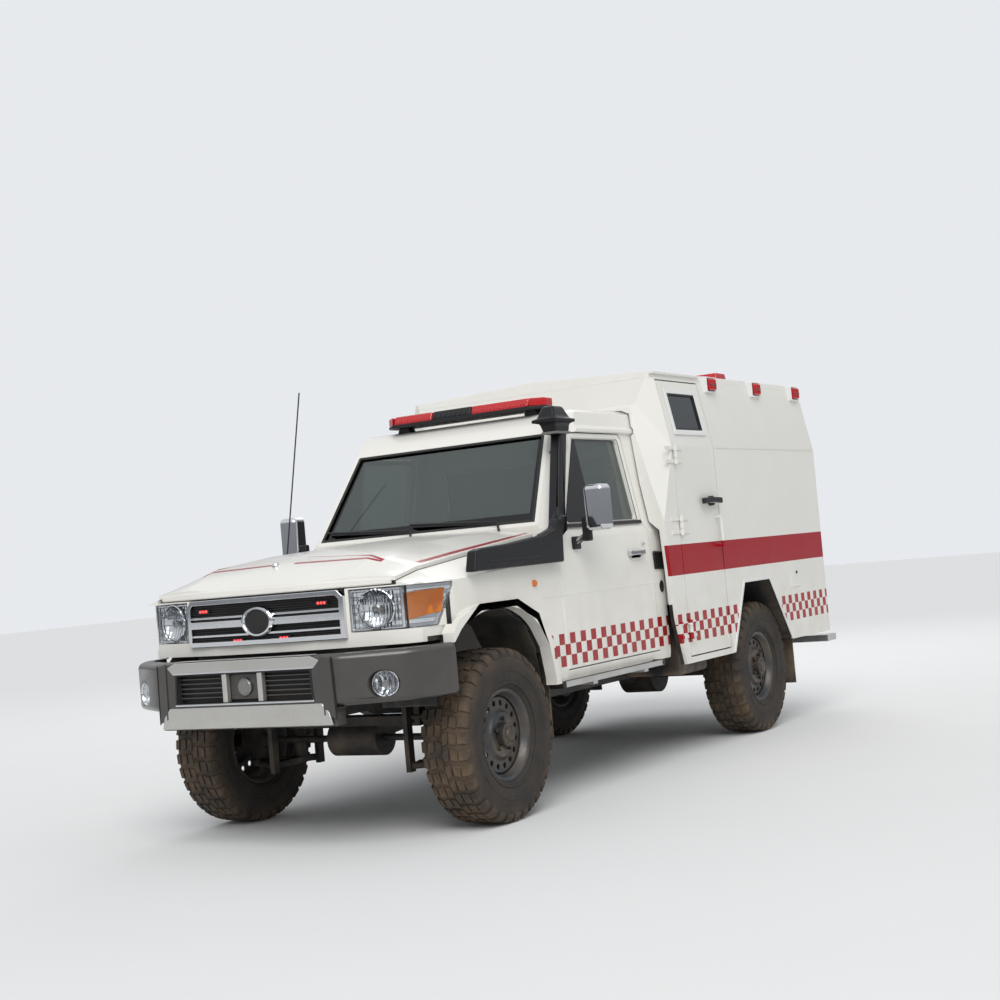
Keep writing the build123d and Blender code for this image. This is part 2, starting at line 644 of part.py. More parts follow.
# Walls, skirts and door frames of the module
with BuildPart() as box_shell:
    add(box_form.part)
    block((-box_x, box_x), (1600, box_rear + 1), (roof_split_z, box_crown_z + 20), mode=Mode.SUBTRACT)
    add(box_room.part, mode=Mode.SUBTRACT)
    block((box_wall - box_x, box_x - box_wall), (box_front - 1, box_rear - box_wall), (skirt_z - 1, floor_low),
          mode=Mode.SUBTRACT)
    side_slab(rear_arch, wheel_box_x, box_x + 1, mode=Mode.SUBTRACT)
    side_slab(rear_arch, -box_x - 1, -wheel_box_x, mode=Mode.SUBTRACT)
    side_slab(door_cut, box_top_x - 60, box_x + 1, mode=Mode.SUBTRACT)
    side_slab(side_window, -box_x - 1, -box_top_x + 60, mode=Mode.SUBTRACT)
    block((-rear_door_half - 6, rear_door_half + 6), (box_rear - box_wall - 10, box_rear + 1),
          (rear_door_low - 6, rear_door_high + 8), mode=Mode.SUBTRACT)
    hinge_x = box_x + hinge_out
    for z in side_hinge_z:
        hinge_fixed(hinge_x, side_door[0] - 3, z)
        for end in (z - hinge_tall / 3 - 1, z + hinge_tall / 3 + 1):
            block((box_x, box_x + leaf_t), (side_door[0] - 3 - strap_w, side_door[0] - 3), (end - 10, end + 10))
    for x in (-rear_door_half - 8, rear_door_half + 8):
        for z in rear_hinge_z:
            hinge_fixed(x, box_rear + hinge_out, z)
            for end in (z - hinge_tall / 3 - 1, z + hinge_tall / 3 + 1):
                leaf_x = sorted((x, x + leaf_w * x / abs(x)))
                block(leaf_x, (box_rear, box_rear + leaf_t), (end - 15, end + 15))
save(box_shell, "box_shell")

# Floor with the wheel boxes
wheel_box_s = (wheelbase - 410, wheelbase + 185)
with BuildPart() as box_floor:
    block((box_wall - box_x, box_x - box_wall), (box_front + box_wall, box_rear - box_wall), (floor_low, floor_high))
    for x_low, x_high in ((wheel_box_x, box_x - box_wall), (box_wall - box_x, -wheel_box_x)):
        block((x_low, x_high), wheel_box_s, (floor_low, rear_arch_z + wheel_box_wall))
    side_slab(rear_arch, wheel_box_x + wheel_box_wall, box_x, mode=Mode.SUBTRACT)
    side_slab(rear_arch, -box_x, -wheel_box_x - wheel_box_wall, mode=Mode.SUBTRACT)
save(box_floor, "box_floor")

# Roof with the gutter over the side door
with BuildPart() as box_roof:
    add(box_form.part)
    block((-box_x, box_x), (1600, box_rear + 1), (500, roof_split_z), mode=Mode.SUBTRACT)
    add(box_room.part, mode=Mode.SUBTRACT)
    block((box_top_x - 12, box_top_x + 18), (side_door[0] - 28, side_door[1] + 36), (box_top_z - 18, box_top_z - 4))
save(box_roof, "box_roof")

# Side door of the body module, with its lever and grab handle
lever_s = side_door[0] + 445
lever_z = 1483.0
grab_s = side_door[0] + 515
grab_z = (1212, 1384)
with BuildPart() as box_side_door:
    front_slab(whole(box_section), side_door[0], side_door[1])
    front_slab(whole([(0, skirt_z), (box_x - box_wall, skirt_z)] + box_inner[2:]), side_door[0], side_door[1],
               mode=Mode.SUBTRACT)
    cut_behind(upper_facet)
    block((box_top_x - 50, box_x), side_door[:2], side_door[2:], mode=Mode.INTERSECT)
    side_slab(side_window, box_top_x - 60, box_x + 1, mode=Mode.SUBTRACT)
    for z in side_hinge_z:
        hinge_moving(hinge_x, side_door[0] - 3, z)
        block((box_x, box_x + leaf_t), (side_door[0] - 3, side_door[0] + 30), (z - 14, z + 14))
        block((box_x, box_x + leaf_t), (side_door[0] + 15, side_door[0] + 30),
              (z - hinge_tall / 3 - 11, z + hinge_tall / 3 + 11))
        for end in (z - hinge_tall / 3 - 1, z + hinge_tall / 3 + 1):
            block((box_x, box_x + leaf_t), (side_door[0] + 15, side_door[0] + strap_w - 3), (end - 10, end + 10))
        hinge_bore(hinge_x, side_door[0] - 3, z)
    rod((box_x, lever_s, lever_z), (box_x + 24, lever_s, lever_z), 20)
    block((box_x + 20, box_x + 40), (lever_s - 145, lever_s + 105), (lever_z - 13, lever_z + 13))
    for z in grab_z:
        rod((box_x, grab_s, z), (box_x + 44, grab_s, z), 9)
    rod((box_x + 35, grab_s, grab_z[0] - 9), (box_x + 35, grab_s, grab_z[1] + 9), 9)
save(box_side_door, "box_side_door")
with BuildPart() as box_side_glass:
    front_slab([(box_x - 4, fold_z), (box_top_x - 4, box_top_z), (box_top_x - 4 - glass_t, box_top_z),
                (box_x - 4 - glass_t, fold_z)], side_door[0], side_door[1])
    side_slab(side_window, box_top_x - 60, box_x, mode=Mode.INTERSECT)
save(box_side_glass, "box_side_glass")

# Rear doors with their glass
with BuildPart() as rear_door:
    block((4, rear_door_half), (box_rear - rear_door_t, box_rear), (rear_door_low, rear_door_high))
    block(rear_glass[:2], (box_rear - 80, box_rear + 1), rear_glass[2:], mode=Mode.SUBTRACT)
    for z in rear_hinge_z:
        hinge_moving(rear_door_half + 8, box_rear + hinge_out, z)
        block((rear_door_half - leaf_w, rear_door_half + 8), (box_rear, box_rear + leaf_t), (z - 14, z + 14))
        hinge_bore(rear_door_half + 8, box_rear + hinge_out, z)
save_pair(rear_door, "rear_door")
with BuildPart() as rear_door_glass:
    block(rear_glass[:2], (box_rear - 26, box_rear - 20), rear_glass[2:])
save_pair(rear_door_glass, "rear_door_glass")

# Red marker lamps and tail lamps
marker_stations = [wheelbase - 449, wheelbase + 270, wheelbase + 968]
with BuildPart() as red_lamps:
    for s in marker_stations:
        block((box_top_x - 20, box_top_x + 36), (s - 55, s + 55), (box_top_z - 94, box_top_z - 8))
    front_slab(whole(box_section), marker_stations[0] - 60, marker_stations[2] + 60, mode=Mode.SUBTRACT)
    block((720, 860), (box_rear, box_rear + 22), (690, 900))
    mirror(about=Plane.YZ)
save(red_lamps, "red_lamps")

# Front axle: differential, half shafts and wishbones; propeller shaft
gearbox_rear = 1240.0
with BuildPart() as front_axle:
    rod((0, 0, axle_z), (150, 0, axle_z), 88)
    rod((140, 0, axle_z), (600, 0, axle_z), 17)
    rod((560, 0, axle_z), (612, 0, axle_z), 42)
    for z, reach, bar in ((300, 185, 18), (530, 165, 12)):
        with Locations((kingpin_x, st(0), z)):
            Cylinder(34, 2 * bar - 4)
        for s in (-reach, reach):
            rod((kingpin_x - 8, 0, z), (rail_outer + 12, s, z), bar)
            block((rail_outer, rail_outer + 26), (s - 22, s + 22), (z - 30, 640))
        with Locations((kingpin_x, st(0), z)):
            Cylinder(14 + fit_gap, 80, mode=Mode.SUBTRACT)
    block((425, 500), (-135, 135), (288, 318))
    block((-1, rail_inner), (-60, 60), (axle_z + 60, axle_z + 110))
    block((rail_inner, rail_outer), (-60, 60), (axle_z + 60, 600))
    mirror(about=Plane.YZ)
    rod((0, 0, axle_z), (0, 140, axle_z), 40)
    rod((0, 130, axle_z), (-110, 1150, 470), 26)
save(front_axle, "front_axle")

# Steering knuckles
with BuildPart() as knuckle:
    block((kingpin_x - 24, kingpin_x + 24), (-32, 32), (324, 508))
    with Locations((kingpin_x, st(0), 310)):
        Cylinder(14, 60)
    with Locations((kingpin_x, st(0), 522)):
        Cylinder(14, 60)
    rod((kingpin_x, 0, axle_z), (front_wheel_x + 75, 0, axle_z), spindle_r)
    rod((kingpin_x + 20, 0, axle_z), (kingpin_x + 34, 0, axle_z), 93)
    block((kingpin_x - 24, kingpin_x - 4), (30, 120), (395, 425))
save_pair(knuckle, "knuckle")

# Rear axle and its propeller shaft
with BuildPart() as rear_axle:
    rod((0, wheelbase, axle_z), (640, wheelbase, axle_z), 44)
    rod((0, wheelbase, axle_z), (120, wheelbase, axle_z), 140)
    rod((600, wheelbase, axle_z), (690, wheelbase, axle_z), 150)
    rod((600, wheelbase, axle_z), (rear_wheel_x + 75, wheelbase, axle_z), spindle_r)
    block((490, 550), (wheelbase - 90, wheelbase + 90), (axle_z, 466))
    mirror(about=Plane.YZ)
    rod((0, wheelbase, axle_z), (0, wheelbase - 190, axle_z + 6), 60)
    rod((0, wheelbase - 180, axle_z + 6), (0, gearbox_rear + 20, 520), 32)
save(rear_axle, "rear_axle")

# Leaf springs at the rear and struts at the front
with BuildPart() as springs:
    leaf_line = [(-620, 590, 615), (-320, 505, 535), (0, 466, 500), (320, 505, 535), (620, 590, 615)]
    side_slab([(wheelbase + run, low) for run, low, high in leaf_line]
              + [(wheelbase + run, high) for run, low, high in reversed(leaf_line)], 490, 550)
    block((rail_outer, 550), (wheelbase - 645, wheelbase - 595), (590, 650))
    block((rail_outer, 550), (wheelbase + 595, wheelbase + 645), (590, 700))
    rod((462, 80, 318), (462, 80, 670), 32)
    block((rail_outer, 500), (40, 120), (662, 700))
    mirror(about=Plane.YZ)
save(springs, "springs")

# Engine and gearbox as plain blocks
with BuildPart() as engine_and_gearbox:
    block((-230, 230), (-330, 300), (600, 1130))
    block((-rail_inner, rail_inner), (-40, 40), (620, 690))
    block((-120, 120), (300, 640), (500, 590))
    block((-120, 120), (640, gearbox_rear), (496, 590))
save(engine_and_gearbox, "engine_and_gearbox")

# Fuel tank on the left, inside the skirt
with BuildPart() as fuel_tank:
    block((rail_outer, 800), (box_front + 205, wheelbase - 700), (470, 880))
save(fuel_tank, "fuel_tank")

# Exhaust under the right side
with BuildPart() as exhaust:
    rod((-270, 1320, 500), (-270, wheelbase + 1020, 545), 26)
    rod((-250, 1560, 503), (-250, 2060, 511), 60)
    for s, top in ((wheelbase - 930, 555), (wheelbase + 920, 640)):
        rod((-270, s, 515), (-270, s, top), 7)
save(exhaust, "exhaust")

# Seats
with BuildPart() as seats:
    block((150, 640), (1270, 1760), (cab_floor, 960))
    side_slab([(1640, 900), (1760, 900), (1825, 1560), (1735, 1560)], 160, 630)
    mirror(about=Plane.YZ)
save(seats, "seats")

# Dashboard with the steering wheel
with BuildPart() as dashboard:
    block((-760, 760), (702, 960), (960, 1300))
    rod((-380, 940, 1130), (-380, 1060, 1190), 26)
    rod((-380, 1060, 1190), (-380, 1078, 1199), 186)
    rod((-380, 1050, 1185), (-380, 1090, 1205), 164, mode=Mode.SUBTRACT)
    rod((-380, 1040, 1180), (-380, 1078, 1199), 34)
    block((-548, -212), (1058, 1076), (1178, 1206))
save(dashboard, "dashboard")

# Furniture: stretcher, bench and cabinet
room_x = box_x - box_wall - 4
with BuildPart() as box_furniture:
    block((-290, 290), (box_rear - 1581, box_rear - 131), (floor_high, 1150))
    block((450, room_x), (wheelbase + 240, box_rear - 81), (floor_high, 1370))
    block((-room_x, -430), (box_front + 125, wheelbase - 420), (floor_high, 1790))
save(box_furniture, "box_furniture")

# Wheels: each tyre's lugs start with one that lies flat on the ground
def tread_ring(plane, reach, deep):
    """Outline of the tread on a plane, with a groove of the given depth after each lug."""
    pitch = 2 * pi / lug_count
    half = pitch * lug_share / 2
    top = reach / cos(half)
    corners = []
    for lug in range(lug_count):
        turns = [(-half, top), (half, top)]
        if deep:
            turns += [(half, top - deep), (pitch - half, top - deep)]
        for turn, r in turns:
            angle = lug * pitch + turn - pi / 2
            corners.append((r * cos(angle), r * sin(angle)))
    with BuildSketch(plane) as ring:
        with BuildLine():
            Polyline(*corners, close=True)
        make_face()
    return ring.sketch


wheel_places = [("front", front_wheel_x, 0.0), ("rear", rear_wheel_x, wheelbase)]
for axle_name, wheel_x, s in wheel_places:
    middle = Plane(origin=(wheel_x, st(s), axle_z), x_dir=(0, 1, 0), z_dir=(1, 0, 0))
    with BuildPart() as tyre:
        extrude(tread_ring(middle.offset(lug_reach - tyre_w / 2), tyre_r, 0), amount=tyre_w - 2 * lug_reach)
        for out in (-1, 1):
            inner_ring = tread_ring(middle.offset(out * (tyre_w / 2 - lug_reach)), tyre_r, lug_deep)
            outer_ring = tread_ring(middle.offset(out * tyre_w / 2), tyre_r - shoulder_drop, lug_deep)
            loft([inner_ring, outer_ring], ruled=True)
        with BuildSketch(middle.offset(-tyre_w / 2)):
            Circle(bead_r + fit_gap)
        extrude(amount=tyre_w, mode=Mode.SUBTRACT)
    save_pair(tyre, f"tyre_{axle_name}")
    with BuildPart() as rim:
        with BuildSketch(middle.offset(-rim_w / 2)):
            Circle(bead_r)
            Circle(bead_r - barrel_t, mode=Mode.SUBTRACT)
        extrude(amount=rim_w)
        with BuildSketch(middle.offset(disc_set)):
            Circle(bead_r - barrel_t / 2)
        extrude(amount=disc_t)
        with BuildSketch(middle.offset(disc_set)):
            Circle(hub_r)
        extrude(amount=60)
        with BuildSketch(middle.offset(-rim_w / 2)):
            Circle(spindle_r + fit_gap)
        extrude(amount=rim_w / 2 + 75 + fit_gap, mode=Mode.SUBTRACT)
        with BuildSketch(middle.offset(disc_set - 1)):
            with PolarLocations(152, 16):
                Circle(14)
        extrude(amount=disc_t + 2, mode=Mode.SUBTRACT)
    save_pair(rim, f"rim_{axle_name}")
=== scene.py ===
"""Looks of the four-wheel-drive ambulance truck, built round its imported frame.

Lengths are metres in the frame's axes: +X the vehicle's left side, +Y its rear, +Z up. Stations are
distances behind the front axle, as in the source of the solids, and spot() turns one into a place.
"""

import json
import logging
import math
from dataclasses import dataclass
from enum import Enum
from typing import Callable, Iterable, Sequence

import bmesh
import bpy
from mathutils import Euler, Matrix, Vector

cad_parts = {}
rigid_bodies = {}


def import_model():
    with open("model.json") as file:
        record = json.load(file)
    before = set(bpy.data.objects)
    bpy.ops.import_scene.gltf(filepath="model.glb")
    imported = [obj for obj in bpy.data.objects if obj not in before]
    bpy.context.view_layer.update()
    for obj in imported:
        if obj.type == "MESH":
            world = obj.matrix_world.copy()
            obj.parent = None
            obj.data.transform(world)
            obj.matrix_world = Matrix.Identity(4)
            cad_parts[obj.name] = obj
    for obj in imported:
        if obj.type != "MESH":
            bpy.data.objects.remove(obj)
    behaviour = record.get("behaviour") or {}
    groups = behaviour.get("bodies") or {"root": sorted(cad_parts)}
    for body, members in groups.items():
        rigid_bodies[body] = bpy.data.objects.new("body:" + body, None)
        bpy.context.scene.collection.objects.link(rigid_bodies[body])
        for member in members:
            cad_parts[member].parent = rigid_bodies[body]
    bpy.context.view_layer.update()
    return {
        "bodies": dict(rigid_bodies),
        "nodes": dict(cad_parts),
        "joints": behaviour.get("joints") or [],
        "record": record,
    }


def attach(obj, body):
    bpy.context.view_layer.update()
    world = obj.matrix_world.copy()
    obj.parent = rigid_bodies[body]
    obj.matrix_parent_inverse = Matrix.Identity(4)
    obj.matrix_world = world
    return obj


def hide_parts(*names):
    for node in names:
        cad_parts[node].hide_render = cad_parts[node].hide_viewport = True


log = logging.getLogger("ambulance")
VEHICLE = "vehicle"
AXLE = -1.797
WHEELBASE = 3.18
TRACKS = {"front": (0.757, 0.0), "rear": (0.737, WHEELBASE)}
HUB_Z = 0.415
ACROSS, BACK, UP = Vector((1, 0, 0)), Vector((0, 1, 0)), Vector((0, 0, 1))
FRONT = -BACK
FLIP = Matrix.Scale(-1, 4, ACROSS)
FACING = 0.9  # smallest share of a normal along a direction that a face looks in
ON_AXIS = 0.0001  # radius of a profile's point on the axis it turns about


def spot(x: float, station: float, z: float) -> Vector:
    """Place of a point given by x, its distance behind the front axle and z."""
    return Vector((x, AXLE + station, z))


def path(*corners: Sequence[float], side: int = 1, **same: float) -> list[Vector]:
    """Places the corners of an outline.

    Args:
        corners: Corners as x, station and z, without what is the same for all of them.
        side: Sign of x.
        same: The x, y (the station) or z that all corners share.

    Returns:
        The places.
    """
    order = [axis for axis in "xyz" if axis not in same]
    found = [{**same, **dict(zip(order, corner))} for corner in corners]
    return [spot(side * at["x"], at["y"], at["z"]) for at in found]


def about(centre: Vector, change: Matrix) -> Matrix:
    """Makes a change round a centre."""
    return Matrix.Translation(centre) @ change @ Matrix.Translation(-centre)


class Side(Enum):
    """Side of the vehicle, with the sign of its x."""

    LEFT = 1
    RIGHT = -1

    @property
    def tag(self) -> str:
        """Name of the side as the pieces' names have it."""
        return self.name.lower()

    @property
    def out(self) -> Vector:
        """Direction that points away from the vehicle on this side."""
        return ACROSS * self.value

    def at(self, x: float, station: float, z: float) -> Vector:
        """Place on this side."""
        return spot(self.value * x, station, z)

    def path(self, *corners: Sequence[float], **same: float) -> list[Vector]:
        """Places the corners of an outline on this side."""
        return path(*corners, side=self.value, **same)


class Axis(Enum):
    """Direction that a round piece is turned about."""

    X = (1.0, 0.0, 0.0)
    Y = (0.0, 1.0, 0.0)
    Z = (0.0, 0.0, 1.0)

    @property
    def turn(self) -> Euler:
        """Turn that lays an upright piece along the axis."""
        return UP.rotation_difference(Vector(self.value)).to_euler()


class Tree:
    """Node tree, written in short steps."""

    def __init__(self, tree: bpy.types.NodeTree) -> None:
        """Takes a tree in hand and empties it."""
        self.tree = tree
        tree.nodes.clear()

    def node(self, kind: str, **settings: object) -> bpy.types.Node:
        """Adds a node and sets its properties.

        Args:
            kind: Type of the node.
            settings: Its properties.

        Returns:
            The node.
        """
        made = self.tree.nodes.new(kind)
        for key, value in settings.items():
            setattr(made, key, value)
        return made

    def feed(self, socket: bpy.types.NodeSocket, value: object) -> None:
        """Links an output to a socket, or writes a plain value on it.

        Args:
            socket: The input.
            value: Output of another node, number or colour.
        """
        if isinstance(value, bpy.types.NodeSocket):
            self.tree.links.new(value, socket)
        elif isinstance(value, tuple) and len(value) == 3 and socket.type == "RGBA":
            socket.default_value = (*value, 1.0)
        else:
            socket.default_value = value

    def wire(self, node: bpy.types.Node, sockets: Sequence[object], values: Sequence[object]) -> bpy.types.Node:
        """Feeds several sockets of a node.

        Args:
            node: The node.
            sockets: Its inputs.
            values: What each of them gets.

        Returns:
            The node.
        """
        for socket, value in zip(sockets, values):
            self.feed(socket, value)
        return node

    def math(self, operation: str, *values: object) -> bpy.types.NodeSocket:
        """Adds a math node.

        Args:
            operation: Name of the operation.
            values: Its inputs, as outputs of other nodes or numbers.

        Returns:
            The node's output.
        """
        node = self.node("ShaderNodeMath", operation=operation)
        return self.wire(node, node.inputs, values).outputs[0]

    def less(self, value: object, high: float) -> bpy.types.NodeSocket:
        """Gives 1 below a value and 0 elsewhere."""
        return self.math("LESS_THAN", value, high)

    def more(self, value: object, low: float) -> bpy.types.NodeSocket:
        """Gives 1 above a value and 0 elsewhere."""
        return self.math("GREATER_THAN", value, low)

    def band(self, value: object, low: float, high: float) -> bpy.types.NodeSocket:
        """Gives 1 between two values and 0 elsewhere."""
        return self.times(self.more(value, low), self.less(value, high))

    def times(self, *values: object) -> bpy.types.NodeSocket:
        """Multiplies values or masks.

        Args:
            values: Outputs or numbers.

        Returns:
            Their product.
        """
        result = values[0]
        for value in values[1:]:
            result = self.math("MULTIPLY", result, value)
        return result

    def either(self, *masks: object) -> bpy.types.NodeSocket:
        """Takes the largest of several masks.

        Args:
            masks: Outputs or numbers.

        Returns:
            The largest.
        """
        result = masks[0]
        for mask in masks[1:]:
            result = self.math("MAXIMUM", result, mask)
        return result

    def wave(self, value: object, rate: float) -> bpy.types.NodeSocket:
        """Gives a sine wave along a value."""
        return self.math("SINE", self.times(value, rate))

    def mix(self, share: object, first: object, second: object) -> bpy.types.NodeSocket:
        """Mixes two colours.

        Args:
            share: Share of the second.
            first: Colour at 0.
            second: Colour at 1.

        Returns:
            The mixed colour.
        """
        node = self.node("ShaderNodeMix", data_type="RGBA")
        sockets = (node.inputs[0], node.inputs[6], node.inputs[7])
        return self.wire(node, sockets, (share, first, second)).outputs[2]

    def fit(self, value: object, low: float, high: float, to_low: float, to_high: float) -> bpy.types.NodeSocket:
        """Maps one range on another and holds the ends."""
        node = self.node("ShaderNodeMapRange", clamp=True)
        return self.wire(node, node.inputs, (value, low, high, to_low, to_high)).outputs[0]


class Graph(Tree):
    """Node tree of one material, with its shader and the object's coordinates."""

    def __init__(self, name: str) -> None:
        """Starts a material with one principled shader.

        Args:
            name: Name of the material.
        """
        self.material = bpy.data.materials.new(name)
        self.material.use_nodes = True
        super().__init__(self.material.node_tree)
        self.shader = self.node("ShaderNodeBsdfPrincipled")
        self.feed(self.node("ShaderNodeOutputMaterial").inputs[0], self.shader.outputs[0])
        self.where = self.node("ShaderNodeTexCoord").outputs["Object"]
        split = self.node("ShaderNodeSeparateXYZ")
        self.feed(split.inputs[0], self.where)
        self.x, self.y, self.z = split.outputs
        self.side = self.math("ABSOLUTE", self.x)

    def set(self, **values: object) -> None:
        """Feeds the shader's sockets, named with _ for each space."""
        for name, value in values.items():
            self.feed(self.shader.inputs[name.replace("_", " ")], value)

    def noise(self, scale: float, detail: float = 3.0) -> bpy.types.NodeSocket:
        """Gives soft noise of one scale in the object's coordinates.

        Args:
            scale: Scale of the noise.
            detail: Octaves of the noise.

        Returns:
            The noise, 0 to 1.
        """
        node = self.node("ShaderNodeTexNoise")
        sockets = [node.inputs[name] for name in ("Vector", "Scale", "Detail")]
        return self.wire(node, sockets, (self.where, scale, detail)).outputs["Fac"]

    def relief(self, height: object, strength: float, distance: float = 0.00025) -> None:
        """Roughens the surface by a height.

        Args:
            height: The height.
            strength: Share of the bump.
            distance: Height of 1, in metres.
        """
        bump = self.node("ShaderNodeBump")
        sockets = [bump.inputs[name] for name in ("Strength", "Distance", "Height")]
        self.set(Normal=self.wire(bump, sockets, (strength, distance, height)).outputs[0])


@dataclass(frozen=True)
class Finish:
    """A finish: the record's slot it is meant for, which is not used, its colour, gloss, grain and the road dust on
    it.
    """

    name: str
    slot: str
    colour: tuple[float, float, float]
    roughness: float = 0.4
    metallic: float = 0.0
    coat: float = 0.0
    mottling: float = 0.08
    grain: float = 300.0
    grit: float = 0.12
    dust: float = 0.0
    clear: float = 0.0
    glow: float = 0.0
    shine: float = 0.5
    uneven: float = 0.06
    mud: tuple[float, float, float] = (0.30, 0.215, 0.135)

    def pattern(self, graph: Graph, colour: bpy.types.NodeSocket) -> bpy.types.NodeSocket:
        """Paints what is on top of the ground colour; a plain finish adds nothing."""
        return colour

    def height(self, graph: Graph) -> bpy.types.NodeSocket:
        """Gives the height of the grain."""
        return graph.noise(self.grain, 2.0)

    def build(self) -> bpy.types.Material:
        """Makes the material.

        Returns:
            The finished material.
        """
        graph = Graph(f"{self.name}_finish")
        lighter = tuple(min(1.0, c * (1 + self.mottling)) for c in self.colour)
        darker = tuple(c * (1 - self.mottling) for c in self.colour)
        colour = self.pattern(graph, graph.mix(graph.noise(2.6, 4.0), darker, lighter))
        rough = graph.fit(graph.noise(self.grain * 0.13), 0.3, 0.7, max(0.02, self.roughness - self.uneven),
                          min(1.0, self.roughness + self.uneven))
        if self.dust:
            low = graph.fit(graph.z, 0.35, 1.25, 1.0, 0.06)
            film = graph.fit(graph.noise(7.0, 6.0), 0.38, 0.72, 0.0, 1.0)
            dirt = graph.times(low, film, self.dust)
            colour = graph.mix(dirt, colour, self.mud)
            rough = graph.either(rough, graph.times(dirt, 0.9))
        graph.set(Base_Color=colour, Roughness=rough, Metallic=self.metallic, Specular_IOR_Level=self.shine,
                  Coat_Weight=self.coat, Coat_Roughness=0.06)
        if self.clear:
            graph.set(Transmission_Weight=self.clear, IOR=1.45)
        if self.glow:
            graph.set(Emission_Color=self.colour, Emission_Strength=self.glow)
        graph.relief(self.height(graph), self.grit)
        return graph.material


@dataclass(frozen=True)
class Livery(Finish):
    """White paint with the red chequers, stripe and fine lines of the ambulance, and its inner faces near black:
    partly black liners and underseal, partly painted shade.
    """

    red: tuple[float, float, float] = (0.34, 0.004, 0.012)
    skin: float = 0.83
    chequer: tuple[float, float] = (0.671, 0.839)
    cell: float = 0.057
    ends: tuple[float, float] = (AXLE + 0.442, AXLE + 1.89)
    stripe: tuple[float, float] = (0.0, 0.0)
    hood_lines: bool = False
    # inner faces below these limits take the colour dark: partly black liners and underseal, partly painted shade
    dark_inside: float = 0.80
    dark_below: float = 0.66
    dark: tuple[float, float, float] = (0.018, 0.018, 0.019)

    def pattern(self, graph: Graph, colour: bpy.types.NodeSocket) -> bpy.types.NodeSocket:
        """Paints the chequers, the stripe, the hood's lines and the near-black inner faces, which are partly black
        liners and underseal and partly painted shade.

        Args:
            graph: Tree of the material.
            colour: Colour under it.

        Returns:
            The painted colour.
        """
        low, high = self.chequer
        row = graph.math("FLOOR", graph.math("DIVIDE", graph.math("SUBTRACT", graph.z, low), (high - low) / 3))
        column = graph.math("FLOOR", graph.math("DIVIDE", graph.y, self.cell))
        odd = graph.math("FLOORED_MODULO", graph.math("ADD", row, column), 2.0)
        outside = graph.more(graph.side, self.skin)
        along = graph.band(graph.y, *self.ends)
        masks = [graph.times(odd, graph.band(graph.z, low, high), along, outside)]
        if self.stripe[1]:
            masks.append(graph.times(graph.band(graph.z, *self.stripe), outside, along))
            masks.append(graph.times(graph.band(graph.z, *self.stripe), graph.more(graph.y, self.ends[1] - 0.02)))
        if self.hood_lines:
            masks += self.fine_lines(graph)
        colour = graph.mix(graph.either(*masks), colour, self.red)
        # painted shade: faces inside the skin and low down, and those in the wheel arch, nose and engine bay, go near
        # black; partly black liners and underseal, partly shade where the light does not reach
        inner = graph.less(graph.side, 0.843)
        black_and_shade_masks = [graph.times(graph.less(graph.side, self.dark_inside), graph.less(graph.z, self.dark_below))]
        # near-black, partly black liners and partly painted shade, in the wheel arch, behind the nose and in the
        # engine bay: first station, last station, height, width
        for start, end, top, wide in ((-0.40, 0.47, 1.12, inner), (-0.52, -0.39, 0.93, inner),
                                      (-0.50, 0.66, 1.165, graph.less(graph.side, 0.80))):
            black_and_shade_masks.append(graph.times(graph.band(graph.y, AXLE + start, AXLE + end), graph.less(graph.z, top), wide))
        return graph.mix(graph.either(*black_and_shade_masks), colour, self.dark)

    def fine_lines(self, graph: Graph) -> list[bpy.types.NodeSocket]:
        """Gives the masks of the thin red lines on the hood.

        Args:
            graph: Tree of the material.

        Returns:
            The masks.
        """
        top = graph.more(graph.z, 1.19)
        masks = [graph.times(graph.band(graph.side, 0.668, 0.698), graph.band(graph.y, AXLE - 0.36, AXLE + 0.66), top)]
        for start, end in ((-0.372, -0.446), (-0.478, -0.462)):
            rise = graph.times(graph.math("SUBTRACT", graph.side, 0.05), (end - start) / 0.50)
            line = graph.math("ADD", rise, AXLE + start)
            near = graph.math("ABSOLUTE", graph.math("SUBTRACT", graph.y, line))
            masks.append(graph.times(graph.less(near, 0.009), graph.band(graph.side, 0.05, 0.55), top))
        return masks


@dataclass(frozen=True)
class Fabric(Finish):
    """Woven cloth with a fine two-way weave."""

    threads: float = 900.0

    def height(self, graph: Graph) -> bpy.types.NodeSocket:
        """Gives the height of crossing threads."""
        return graph.times(graph.wave(graph.x, self.threads),
                           graph.wave(graph.math("ADD", graph.y, graph.z), self.threads))


@dataclass(frozen=True)
class Tread(Finish):
    """Tyre rubber under road dust, thickest on the tread and in the hollows of the side wall."""

    def pattern(self, graph: Graph, colour: bpy.types.NodeSocket) -> bpy.types.NodeSocket:
        """Lays dust by the distance from the wheel's middle.

        Args:
            graph: Tree of the material.
            colour: Colour under it.

        Returns:
            The dusty colour.
        """
        reach = graph.node("ShaderNodeAttribute", attribute_name="reach").outputs["Fac"]
        outer = graph.fit(reach, 0.33, 0.41, 0.15, 0.75)
        film = graph.fit(graph.noise(9.0, 7.0), 0.36, 0.66, 0.15, 1.0)
        colour = graph.mix(graph.times(outer, film), colour, (0.135, 0.088, 0.050))
        return graph.mix(graph.fit(graph.wave(reach, 520.0), 0.8, 1.0, 0.0, 0.14), colour, (0.10, 0.072, 0.048))


@dataclass(frozen=True)
class Reflector(Finish):
    """Bright lamp bowl with upright flutes."""

    flutes: float = 330.0

    def height(self, graph: Graph) -> bpy.types.NodeSocket:
        """Gives the height of the flutes."""
        return graph.math("ADD", graph.times(graph.wave(graph.x, self.flutes), 4.0),
                          graph.times(graph.wave(graph.z, self.flutes * 0.55), 2.5))


